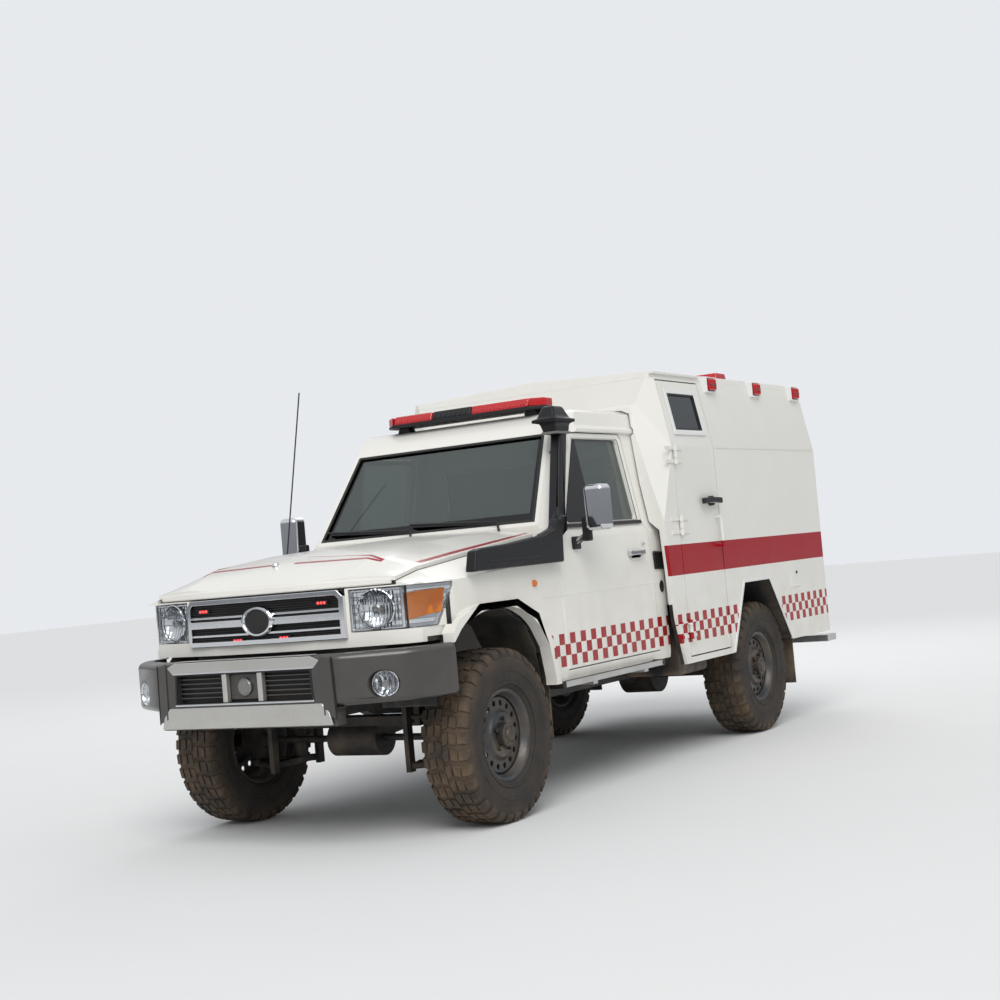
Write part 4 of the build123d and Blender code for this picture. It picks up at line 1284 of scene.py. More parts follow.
@dataclass
class Grille:
    """Bright frame and bars round dark slots, with small red flashers."""

    half: float = 0.470
    low: float = 0.951
    high: float = 1.174
    face: float = -0.7185
    notch: float = 0.030
    bars: tuple[tuple[float, float, float], ...] = (
        # underside, top, how far it stands out
        (1.083, 1.093, 0.005), (1.038, 1.072, 0.012), (0.997, 1.007, 0.005))
    flashers: tuple[tuple[float, float], ...] = ((-0.356, 1.121), (0.356, 1.121), (-0.139, 0.974), (0.139, 0.974))
    disc: tuple[tuple[float, float], ...] = (
        (0.0, ON_AXIS), (-0.012, ON_AXIS), (-0.0115, 0.025), (-0.008, 0.050), (-0.004, 0.064), (0.0, 0.065))
    ring: tuple[tuple[float, float], ...] = (
        (0.004, 0.060), (-0.008, 0.062), (-0.014, 0.068), (-0.013, 0.076), (-0.006, 0.082), (0.012, 0.082),
        (0.012, 0.060))

    def slab(self, name: str, border: float, deep: tuple[float, float], low: float, high: float) -> Piece:
        """Starts a slab across the grille.

        Args:
            name: Name of the slab.
            border: Distance of its ends from the grille's ends.
            deep: Its front and rear behind the grille's face.
            low: Its underside.
            high: Its top.

        Returns:
            The slab.
        """
        front, rear = deep
        return Piece.block(name, spot(border - self.half, self.face + front, low),
                           spot(self.half - border, self.face + rear, high))

    def build(self) -> None:
        """Models the grille."""
        h, c = self.half, self.notch
        corners = path((-h, self.low), (h, self.low), (h, self.high - c), (h - c, self.high), (c - h, self.high),
                       (-h, self.high - c), y=self.face + 0.020)
        frame = Piece.frame_of("grille_frame", corners, 0.023, FRONT * 0.026).split(9).bend(nose_bend)
        frame.soften(0.006, 3, 40).dress(Stock.CHROME, node="grille")
        back = self.slab("grille_back", 0.01, (0.022, 0.034), self.low + 0.01, self.high - 0.012)
        back.split(9).bend(nose_bend).soften(0.001, 1).dress(Stock.BLACK)
        for index, (low, high, out) in enumerate(self.bars):
            bar = self.slab(f"grille_bar_{index}", 0.012, (0.006 - out, 0.024), low, high)
            bar.split(11).bend(nose_bend).soften(0.0035, 3, 40).dress(Stock.CHROME)
        slat = self.slab("grille_slats", 0.014, (0.010, 0.024), 0.974, 0.979).row(17, UP * 0.011)
        slat.split(7).bend(nose_bend).soften(0.001, 1).dress(Stock.BLACK)
        self.medallion()
        for index, (x, z) in enumerate(self.flashers):
            self.flasher(index, x, z)

    def medallion(self) -> None:
        """Sets a plain domed disc with a bright ring in the middle."""
        centre = spot(0.0, self.face - 0.006, 1.058)
        for name, profile, steps, stock in (("grille_disc", self.disc, 56, Stock.BLACK),
                                            ("grille_disc_ring", self.ring, 64, Stock.CHROME)):
            made = Piece.turned(name, profile, centre, Axis.Y, steps)
            made.bend(lambda p: Vector((p.x * 1.16, p.y, centre.z + (p.z - centre.z) * 0.86)))
            made.shade(40).dress(stock)

    def flasher(self, index: int, x: float, z: float) -> None:
        """Sets one flasher: a black holder with three red lamps.

        Args:
            index: Its number.
            x: Its place across.
            z: Height.
        """
        at = nose_bend(spot(x, self.face + 0.004, z))
        holder = Piece.block(f"flasher_{index}", at + Vector((-0.034, -0.004, -0.011)),
                             at + Vector((0.034, 0.016, 0.011)))
        holder.sink(FRONT, 0.003, -0.003).soften(0.002, 2).dress(Stock.BLACK)
        dot = Piece.round(f"flasher_lamp_{index}", at + Vector((-0.018, -0.003, 0)), Axis.Y, 0.0062, 0.006, 16)
        dot.soften(0.002, 2).row(3, ACROSS * 0.018).dress(Stock.SPARK)


@dataclass
class Headlamps:
    """Headlamp with a bowl and clear lens, turn lamp round the corner, and fog lamp in the bumper."""

    low: float = 0.974
    bowl: tuple[tuple[float, float], ...] = (
        (0.018, 0.004), (0.016, 0.030), (0.006, 0.058), (-0.010, 0.078), (-0.022, 0.085), (-0.027, 0.089),
        (-0.024, 0.094), (-0.014, 0.092), (0.010, 0.066), (0.021, 0.034), (0.023, 0.004))
    cap: tuple[tuple[float, float], ...] = (
        (0.018, ON_AXIS), (-0.016, ON_AXIS), (-0.018, 0.010), (-0.012, 0.021), (-0.006, 0.021), (0.016, 0.010))
    fog_ring: tuple[tuple[float, float], ...] = (
        (0.006, 0.053), (-0.004, 0.054), (-0.008, 0.0575), (-0.004, 0.0615), (0.020, 0.0615), (0.020, 0.053))
    fog_bowl: tuple[tuple[float, float], ...] = (
        (0.034, 0.004), (0.030, 0.026), (0.014, 0.048), (0.0, 0.054), (0.006, 0.056), (0.020, 0.052),
        (0.038, 0.028), (0.040, 0.004))
    fog_glass: tuple[tuple[float, float], ...] = (
        (-0.004, ON_AXIS), (-0.0035, 0.026), (0.001, 0.054), (0.005, 0.054), (0.0005, 0.026), (0.0, ON_AXIS))

    def lamp_case(self, side: Side) -> None:
        """Models the headlamp's bright case, bowl and bulb cap.

        Args:
            side: Side of the vehicle.
        """
        s, tag = side.value, side.tag
        wall = side.path((0.488, -0.604), (0.738, -0.547), (0.737, -0.541), (0.487, -0.598), z=self.low + 0.004)
        Piece.plate(f"lamp_case_{tag}", wall, UP * 0.188).soften(0.001, 2).dress(Stock.BLACK, slot="lamp_lens")
        rim = side.path((0.489, -0.6515, 0.979), (0.738, -0.5940, 0.979), (0.738, -0.5940, 1.164),
                        (0.489, -0.6515, 1.164))
        bezel = Piece.frame_of(f"lamp_bezel_{tag}", rim, 0.010, Vector((-s * 0.009, 0.040, 0)))
        bezel.soften(0.003, 3).dress(Stock.CHROME, slot="lamp_lens")
        shelf = side.path((0.495, -0.632, 0.984), (0.733, -0.577, 0.984), (0.733, -0.577, 1.160),
                          (0.495, -0.632, 1.160))
        centre = side.at(0.606, -0.606, 1.072)
        tilt = about(centre, Matrix.Rotation(s * 0.225, 4, UP))
        hole = Piece.round(f"lamp_hole_{tag}", centre, Axis.Y, 0.084, 0.12, 48).move(tilt)
        plate = Piece.plate(f"lamp_shelf_{tag}", shelf, Vector((-s * 0.002, 0.010, 0))).pierce(hole)
        plate.soften(0.002, 2).dress(Stock.BOWL)
        bowl = Piece.turned(f"lamp_bowl_{tag}", self.bowl, centre, Axis.Y, 64).move(tilt)
        bowl.shade(50).dress(Stock.BOWL)
        cap = Piece.turned(f"lamp_cap_{tag}", self.cap, centre, Axis.Y, 32).move(tilt)
        cap.shade(40).dress(Stock.STEEL, slot="lamp_lens")
        fin = Piece.block(f"lamp_fins_{tag}", centre + Vector((-0.056, -0.014, 0.022)),
                          centre + Vector((-0.053, 0.002, 0.064)))
        fin.split(3).row(9, ACROSS * 0.0135).move(tilt).soften(0.0006, 1).dress(Stock.BOWL)

    def lens(self, side: Side) -> None:
        """Models the clear outer lens, whose rear edge slants, and the white corner under it.

        Args:
            side: Side of the vehicle.
        """
        s, tag = side.value, side.tag
        plan = [(0.486, -0.6585), (0.600, -0.6325), (0.740, -0.600), (0.770, -0.578), (0.800, -0.545),
                (0.826, -0.475), (0.848, -0.33)]
        inner = [(x - 0.004, y + 0.007) for x, y in reversed(plan)]
        lens = Piece.plate(f"lamp_glass_{tag}", side.path(*plan, *inner, z=self.low + 0.002), UP * 0.192)
        slant = {0.848: (0.829, -0.458), 0.844: (0.825, -0.451)}
        for vertex in lens.made.data.vertices:
            ends = [new for old, new in slant.items() if abs(abs(vertex.co.x) - old) < 0.0005 and vertex.co.z < 1.07]
            if ends and vertex.co.y > AXLE - 0.36:
                vertex.co.x, vertex.co.y = s * ends[0][0], AXLE + ends[0][1]
        lens.soften(0.0015, 2).dress(Stock.LENS, node="front_lamps")
        corner = side.path((0.8485, -0.330, 1.160), (0.8485, -0.330, 0.972), (0.8305, -0.449, 0.972))
        corner = Piece.plate(f"lamp_corner_{tag}", corner, Vector((-s * 0.016, 0.003, 0)))
        corner.soften(0.002, 2).dress(Stock.CAB)

    def turn_lamp(self, side: Side) -> None:
        """Models the amber turn lamp with its case and the bright post beside it.

        Args:
            side: Side of the vehicle.
        """
        tag = side.tag
        plan = side.path((0.752, -0.578), (0.796, -0.538), (0.820, -0.470), (0.836, -0.392), (0.822, -0.392),
                         (0.806, -0.466), (0.782, -0.526), (0.742, -0.563), z=1.010)
        turn = Piece.plate(f"turn_lamp_{tag}", plan, UP * 0.125)
        turn.bend(lambda p: Vector((p.x, p.y - (0.035 if p.z < 1.07 and abs(p.x) > 0.81 else 0.0),
                                    p.z + max(0.0, abs(p.x) - 0.75) * (0.10 if p.z > 1.07 else 0.30))))
        turn.soften(0.004, 3).dress(Stock.AMBER)
        post = side.path((0.733, -0.600), (0.746, -0.594), (0.738, -0.560), (0.726, -0.566), z=self.low + 0.006)
        Piece.plate(f"lamp_divider_{tag}", post, UP * 0.184).soften(0.002, 2).dress(Stock.CHROME)
        plan = side.path((0.745, -0.566), (0.782, -0.530), (0.806, -0.466), (0.838, -0.345), (0.826, -0.345),
                         (0.796, -0.460), (0.772, -0.520), (0.738, -0.552), z=self.low + 0.004)
        Piece.plate(f"turn_case_{tag}", plan, UP * 0.188).soften(0.002, 2).dress(Stock.BOWL)

    def fog_lamp(self, side: Side) -> None:
        """Models the fog lamp with its bright surround.

        Args:
            side: Side of the vehicle.
        """
        tag = side.tag
        centre = side.at(0.712, -0.742, 0.746)
        tilt = about(centre, Matrix.Rotation(side.value * 0.42, 4, UP))
        for label, profile, angle, stock in (("ring", self.fog_ring, 40, Stock.CHROME),
                                             ("bowl", self.fog_bowl, 50, Stock.BOWL),
                                             ("glass", self.fog_glass, 50, Stock.LENS)):
            made = Piece.turned(f"fog_{label}_{tag}", profile, centre, Axis.Y, 48).move(tilt)
            made.shade(angle).dress(stock)
        cap = Piece.round(f"fog_cap_{tag}", centre + BACK * 0.010, Axis.Y, 0.014, 0.016, 28)
        cap.soften(0.004, 3).move(tilt).dress(Stock.STEEL, slot="lamp_lens")

    def build(self) -> None:
        """Models both sides."""
        for side in Side:
            self.lamp_case(side)
            self.lens(side)
            self.turn_lamp(side)
            self.fog_lamp(side)


@dataclass
class Bumper:
    """Grey bumper with a silver middle, dark straps and the winch bay."""

    top: float = 0.89
    underside: float = 0.662
    brow: float = 0.030

    def rim_edge(self, edge: bmesh.types.BMEdge) -> bool:
        """Says whether an edge is the outer rim of the bumper's ends.

        Args:
            edge: The edge.

        Returns:
            True for an edge of the rim.
        """
        low, high = (v.co for v in edge.verts)
        level = abs(low.z - high.z) < 0.001 and (low.z > self.top or abs(low.z - self.underside) < 0.002)
        flat, wall = sorted((face.normal for face in edge.link_faces), key=lambda n: -abs(n.z))
        out = wall.y < -0.1 or wall.x * low.x > 0.02
        return level and abs(flat.z) > FACING and abs(wall.z) < 0.1 and out and min(abs(low.x), abs(high.x)) > 0.47

    def build(self, frame: dict) -> None:
        """Models the bumper's shell and what is set in it.

        Args:
            frame: The loaded frame.
        """
        shell = Piece.copy_of(frame, "front_bumper").round_edges(self.rim_edge, self.brow, 6)
        shell.soften(0.004, 2, 40).dress(Stock.BUMPER, node="front_bumper")
        self.plates()
        for side in Side:
            self.strap(side)
        self.winch_bay()
        apron = Piece.block("nose_apron", spot(-0.44, -0.662, 0.790), spot(0.44, -0.655, 0.925))
        apron.soften(0.002, 2).dress(Stock.BLACK)

    def plates(self) -> None:
        """Models the silver plates over and under the winch bay."""
        top = path((-0.418, -0.8745, 0.838), (0.418, -0.8745, 0.838), (0.452, -0.8735, 0.872), (0.405, -0.8725, 0.893),
                   (-0.405, -0.8725, 0.893), (-0.452, -0.8735, 0.872))
        lid = path((-0.405, -0.866), (0.405, -0.866), (0.398, -0.812), (-0.398, -0.812), z=0.8955)
        skid = path((-0.452, 0.682), (0.452, 0.682), (0.490, 0.640), (0.505, 0.583), (-0.505, 0.583),
                    (-0.490, 0.640), y=-0.8755)
        for name, corners, depth, width, steps in (("bumper_top_plate", top, BACK * 0.006, 0.004, 3),
                                                   ("bumper_top_lid", lid, UP * 0.003, 0.002, 2),
                                                   ("bumper_skid", skid, BACK * 0.012, 0.005, 3)):
            Piece.plate(name, corners, depth).soften(width, steps).dress(Stock.SILVER)
        dent = path((-0.440, 0.592), (-0.258, 0.592), (-0.266, 0.644), (-0.425, 0.644), y=-0.8768)
        dent = Piece.plate("skid_recess", dent, BACK * 0.004).sink(FRONT, 0.006, -0.003)
        dent.soften(0.0015, 2).row(4, ACROSS * 0.2327).dress(Stock.SILVER)

    def strap(self, side: Side) -> None:
        """Models one dark strap with its groove and one post of the winch bay.

        Args:
            side: Side of the vehicle.
        """
        strap = side.path((0.462, -0.877, 0.628), (0.520, -0.868, 0.612), (0.512, -0.870, 0.880),
                          (0.458, -0.877, 0.892))
        Piece.plate(f"bumper_strap_{side.tag}", strap, BACK * 0.010).soften(0.003, 3).dress(Stock.BUMPER)
        groove = side.path((0.5215, -0.8685, 0.606), (0.5275, -0.8665, 0.606), (0.5205, -0.8690, 0.884),
                           (0.5145, -0.8705, 0.884))
        Piece.plate(f"bumper_groove_{side.tag}", groove, BACK * 0.006).soften(0.001, 1).dress(Stock.BLACK)
        x = side.value * 0.105
        post = Piece.block(f"winch_post_{side.tag}", spot(x - 0.014, -0.872, 0.702), spot(x + 0.014, -0.845, 0.836))
        post.sink(FRONT, 0.005, 0.003).soften(0.003, 2).dress(Stock.SILVER)

    def winch_bay(self) -> None:
        """Models the frame, back, plate, louvres and disc of the winch bay."""
        bay = path((-0.412, 0.690), (0.412, 0.690), (0.404, 0.842), (-0.404, 0.842), y=-0.8745)
        Piece.frame_of("winch_bay_frame", bay, 0.011, BACK * 0.010).soften(0.003, 3).dress(Stock.BLACK)
        back = Piece.block("winch_bay_back", spot(-0.4, -0.836, 0.700), spot(0.4, -0.828, 0.838))
        back.sink(FRONT, 0.02, -0.003).soften(0.002, 2).dress(Stock.BLACK)
        plate = Piece.block("winch_plate", spot(-0.088, -0.846, 0.712), spot(0.088, -0.838, 0.826))
        plate.sink(FRONT, 0.010, -0.002).soften(0.003, 2).dress(Stock.BUMPER, slot="black_plastic")
        for low, high in ((0.8375, 0.8455), (0.6895, 0.6985)):
            strip = Piece.block(f"bay_strip_{int(low * 1000)}", spot(-0.412, -0.8775, low), spot(0.412, -0.866, high))
            strip.soften(0.003, 3).dress(Stock.CHROME)
        louvre = Piece.block("winch_bay_bars", spot(-0.395, -0.852, 0.722), spot(-0.125, -0.842, 0.728))
        louvre.row(5, UP * 0.022).soften(0.0015, 2)
        louvre.join(louvre.twin("winch_bay_bars_right")).dress(Stock.BUMPER, slot="black_plastic")
        drum = Piece.round("winch_disc", spot(0.0, -0.850, 0.768), Axis.Y, 0.040, 0.010, 40)
        drum.sink(FRONT, 0.006, 0.003).soften(0.002, 2).dress(Stock.STEEL, slot="bumper_grey")


@dataclass
class Cab:
    """Cab shell, doors, hood and fenders with all their fittings."""

    # stations and heights of the wheel arch's corners, and of the liner inside it
    bends: tuple[tuple[float, float], ...] = (
        (0.135, 1.050), (-0.215, 1.050), (0.326, 0.966), (0.120, 1.016), (-0.200, 1.016), (0.300, 0.936))
    arch: tuple[tuple[float, float], ...] = (
        (-0.515, 0.62), (-0.515, 0.826), (-0.385, 0.940), (-0.200, 1.010), (0.120, 1.010), (0.300, 0.930),
        (0.400, 0.793), (0.434, 0.640), (0.434, 0.560))

    def build(self, frame: dict) -> None:
        """Models the cab.

        Args:
            frame: The loaded frame.
        """
        soft_node(frame, "cab_shell", Stock.CAB, 0.010, 3, 24)
        self.fenders(frame)
        hood = soft_node(frame, "hood", Stock.CAB, 0.006, 3, 30, "hood")
        hood.repaint(Stock.WHITE_PART, lambda c, n: n.z < -0.4)
        for side in Side:
            self.door(frame, side)
            self.fittings(side)
        self.hood_trim()
        soft_node(frame, "wipers", Stock.BLACK, 0.002, 2, 40)
        self.snorkel(frame)
        self.aerial(frame)
        self.screen_seal(frame)

    def fenders(self, frame: dict) -> None:
        """Rounds the corners of the wheel arches and lines them.

        Args:
            frame: The loaded frame.
        """
        def corner(edge: bmesh.types.BMEdge) -> bool:
            """Says whether an edge is a corner of the wheel arch.

            Args:
                edge: The edge.

            Returns:
                True for a corner of the arch.
            """
            low, high = (v.co for v in edge.verts)
            if abs(low.y - high.y) > 0.001 or abs(low.z - high.z) > 0.001 or abs(low.x) < 0.8:
                return False
            return any(math.hypot(low.y - AXLE - y, low.z - z) < 0.004 for y, z in self.bends)

        piece = Piece.copy_of(frame, "front_fenders").round_edges(corner, 0.07, 6)
        piece.soften(0.006, 3, 34).dress(Stock.CAB, node="front_fenders")
        inner = [(y * 0.985, z - 0.006) for y, z in reversed(self.arch)]
        for side in Side:
            liner = Piece.plate(f"front_liner_{side.tag}", side.path(*self.arch, *inner, x=0.52), side.out * 0.30)
            liner.soften(0.001, 1).dress(Stock.UNDERSEAL)

    def door(self, frame: dict, side: Side) -> None:
        """Dresses one door with its handle, seals, crease and mirror.

        Args:
            frame: The loaded frame.
            side: Side of the vehicle.
        """
        s, tag = side.value, side.tag
        body = f"cab_door_{tag}"
        door = Piece.copy_of(frame, body)
        with door:
            door.pick(lambda c, n: abs(c.x) > 0.925)
            bpy.ops.mesh.delete(type="VERT")
        door.soften(0.004, 2, 26).dress(Stock.CAB, body, node=body)
        door.repaint(Stock.RUBBER, lambda c, n: abs(c.x) > 0.866 and c.z > 1.2)
        cup = side.path((1.490, 1.175), (1.606, 1.175), (1.622, 1.190), (1.622, 1.222), (1.606, 1.236),
                        (1.490, 1.236), (1.474, 1.222), (1.474, 1.190), x=0.8465)
        cup = Piece.plate(f"handle_cup_{tag}", cup, side.out * 0.003).sink(side.out, 0.010, -0.003)
        cup.soften(0.0012, 2).dress(Stock.CAB, body)
        grip = Piece.block(f"door_handle_{tag}", side.at(0.862, 1.458, 1.203), side.at(0.880, 1.632, 1.227))
        grip.split(4).bend(lambda p: Vector((p.x - s * 2.2 * (p.y - AXLE - 1.545) ** 2, p.y, p.z)))
        grip.soften(0.005, 3).dress(Stock.CHROME, body)
        blocks(side, [(f"handle_foot_{{}}_{int(end * 1000)}", (0.846, end - 0.012, 1.200), (0.870, end + 0.012, 1.230),
                       Stock.CHROME, 0.004, 3) for end in (1.468, 1.618)], body)
        lock = Piece.round(f"door_lock_{tag}", side.at(0.848, 1.652, 1.262), Axis.X, 0.011, 0.006, 24)
        lock.sink(side.out, 0.003, 0.002).soften(0.001, 2).dress(Stock.CHROME, body)
        strip = side.path((0.8235, 0.800, 1.378), (0.8235, 1.700, 1.378), (0.8155, 1.700, 1.398),
                          (0.8155, 0.812, 1.398))
        strip = Piece.plate(f"belt_seal_{tag}", strip, Vector((s * 0.007, 0, 0.001)))
        strip.soften(0.003, 2).dress(Stock.RUBBER, body)
        for rider, start, end in ((body, 0.724, 1.690), (VEHICLE, 0.475, 0.712), (VEHICLE, 1.706, 1.862)):
            blocks(side, [(f"crease_{{}}_{int(start * 1000)}", (0.8462, start, 1.0300), (0.8492, end, 1.0410),
                           Stock.CAB, 0.0028, 3)], rider)
        self.window_seal(side, body)
        self.mirror(side, body)
        lay_on(frame, f"cab_door_glass_{tag}", Stock.GLASS)

    def window_seal(self, side: Side, body: str) -> None:
        """Lays a black seal round the door's window, on the leaning skin.

        Args:
            side: Side of the vehicle.
            body: Body the pieces ride on.
        """
        corners = [(0.838, 1.403), (1.142, 1.866), (1.656, 1.866), (1.668, 1.852), (1.672, 1.403)]
        outline = [side.at(0.812 - (z - 1.385) * 0.1782 + 0.001, station, z) for station, z in corners]
        made = Piece.frame_of(f"window_seal_{side.tag}", outline, -0.012, Vector((side.value * 0.004, 0, 0.0007)))
        made.soften(0.0015, 2).dress(Stock.RUBBER, body)

    def mirror(self, side: Side, body: str) -> None:
        """Models the mirror's bright head with its glass.

        Args:
            side: Side of the vehicle.
            body: Body the pieces ride on.
        """
        head = Piece.block(f"mirror_head_{side.tag}", side.at(0.944, 0.799, 1.350), side.at(1.065, 0.891, 1.590))
        head.round_edges(lambda e: abs(e.verts[0].co.y - e.verts[1].co.y) > 0.05, 0.030, 6)
        head.round_edges(lambda e: e.verts[0].co.y + e.verts[1].co.y < 2 * AXLE + 1.61, 0.028, 6)
        head.sink(BACK, 0.009, -0.006).soften(0.004, 3, 40).dress(Stock.CHROME, body)
        blocks(side, (("mirror_glass_{}", (0.957, 0.884, 1.364), (1.053, 0.888, 1.577), Stock.MIRROR, 0.003, 2),
                      ("mirror_foot_{}", (0.835, 0.838, 1.262), (0.862, 0.902, 1.330), Stock.BLACK, 0.008, 3),
                      ("mirror_arm_{}", (0.905, 0.836, 1.300), (0.953, 0.872, 1.428), Stock.BLACK, 0.010, 3)), body)

    def fittings(self, side: Side) -> None:
        """Models the vent, the oval cap, the repeater, and a black strip of painted shade in the gap behind the cab,
        on one side of the cab.

        Args:
            side: Side of the vehicle.
        """
        tag = side.tag
        vent = side.path((1.764, 1.112), (1.872, 1.106), (1.874, 1.196), (1.870, 1.208), (1.770, 1.214),
                         (1.760, 1.204), x=0.847)
        vent = Piece.plate(f"quarter_vent_{tag}", vent, side.out * 0.008).sink(side.out, 0.008, -0.004)
        vent.soften(0.0018, 2).dress(Stock.BLACK)
        slat = Piece.block(f"vent_slats_{tag}", side.at(0.849, 1.774, 1.126), side.at(0.8545, 1.862, 1.131))
        slat.row(6, UP * 0.014).soften(0.001, 1).dress(Stock.BLACK)
        oval = Piece.round(f"quarter_oval_{tag}", side.at(0.8495, 1.832, 1.010), Axis.X, 0.034, 0.006, 40)
        oval.bend(lambda p: Vector((p.x, AXLE + 1.832 + (p.y - AXLE - 1.832) * 0.72, p.z)))
        oval.sink(side.out, 0.005, -0.002).soften(0.0015, 2).dress(Stock.BLACK)
        repeater = Piece.round(f"repeater_{tag}", side.at(0.852, 0.396, 1.112), Axis.X, 0.017, 0.014, 32)
        repeater.sink(side.out, 0.004, 0.004).soften(0.003, 3).dress(Stock.AMBER)
        # painted shade: a black strip in the gap between the cab's rear edge and the module, where only shade falls
        seal = side.path(*((x, 1.884, z) for x, z in (
            (0.842, 0.62), (0.842, 1.10), (0.830, 1.33), (0.806, 1.385), (0.716, 1.890), (0.700, 1.890),
            (0.788, 1.385), (0.812, 1.33), (0.824, 1.10), (0.824, 0.62))))
        Piece.plate(f"cab_gap_seal_{tag}", seal, BACK * 0.016).soften(0.003, 2).dress(Stock.RUBBER)

    def hood_trim(self) -> None:
        """Rolls the hood's front lip and sets the plain round stud on it."""
        plan = [(-0.694, -0.611), (-0.480, -0.659), (-0.300, -0.693), (0.0, -0.703), (0.300, -0.693),
                (0.480, -0.659), (0.694, -0.611)]
        back = [(x, y + 0.018) for x, y in reversed(plan)]
        lip = Piece.plate("hood_lip", path(*plan, *back, z=1.181), UP * 0.036)
        lip.bend(lambda p: Vector((p.x, p.y, p.z - (0.006 if abs(p.x) > 0.60 and p.z > 1.2 else 0.0))))
        lip.soften(0.010, 5).dress(Stock.CAB, "hood")
        profile = [(-0.006, ON_AXIS), (0.014, ON_AXIS), (0.012, 0.012), (0.006, 0.017), (-0.006, 0.019)]
        stud = Piece.turned("hood_stud", profile, spot(-0.060, -0.484, 1.314), Axis.Z, 32)
        stud.shade(40).dress(Stock.CHROME, "hood")

    def snorkel(self, frame: dict) -> None:
        """Dresses the snorkel with a rounded nose, ribs on its duct and a band round its head.

        Args:
            frame: The loaded frame.
        """
        piece = Piece.copy_of(frame, "snorkel").soften(0.016, 4, 26, 0.03)
        piece.dress(Stock.SNORKEL, node="snorkel")
        nose = path((-0.226, 1.199), (-0.196, 1.296), (-0.150, 1.306), (0.120, 1.318), (0.420, 1.345), (0.420, 1.240),
                    (0.100, 1.203), x=0.8475)
        nose = Piece.plate("snorkel_nose", nose, ACROSS * 0.0555)
        nose.round_edges(lambda e: abs(e.verts[0].co.x - e.verts[1].co.x) > 0.05, 0.012, 4)
        nose.soften(0.013, 4, 40).dress(Stock.SNORKEL)
        rib = Piece.block("snorkel_ribs", spot(0.9015, -0.130, 1.2225), spot(0.9055, 0.420, 1.2285))
        rib.row(2, Vector((0, 0.03, 0.018))).soften(0.002, 2).dress(Stock.SNORKEL)
        band = path((0.7005, 0.868), (0.7895, 0.868), (0.7895, 1.026), (0.7005, 1.026), z=1.880)
        band = Piece.frame_of("snorkel_band", band, 0.008, UP * 0.014)
        band.soften(0.002, 2).dress(Stock.STEEL, slot="black_plastic")

    def aerial(self, frame: dict) -> None:
        """Dresses the aerial.

        Args:
            frame: The loaded frame.
        """
        lay_on(frame, "antenna", Stock.BLACK)
        ball = Piece.round("aerial_spring", spot(-0.800, 0.512, 1.315), Axis.Z, 0.010, 0.030, 24)
        ball.sink(UP, 0.003, 0.006).soften(0.002, 3).dress(Stock.STEEL, slot="black_plastic")

    def screen_seal(self, frame: dict) -> None:
        """Lays the screen's rubber and dresses all fixed glass.

        Args:
            frame: The loaded frame.
        """
        lay_on(frame, "fixed_glass", Stock.GLASS)
        run, rise = 0.352, 0.510
        length = math.hypot(run, rise)

        def on_glass(x: float, z: float, proud: float = -0.004) -> Vector:
            """Point on or over the windscreen's plane."""
            share = (z - 1.405) / rise
            return spot(x, 0.700 + run * share - proud * rise / length, z + proud * run / length)

        outer = [(-0.700, 1.424), (0.700, 1.424), (0.620, 1.900), (-0.620, 1.900)]
        seal = Piece.frame_of("screen_seal", [on_glass(x, z) for x, z in outer], 0.016,
                              on_glass(0, 1.5, 0.002) - on_glass(0, 1.5))
        seal.soften(0.002, 2).dress(Stock.RUBBER)


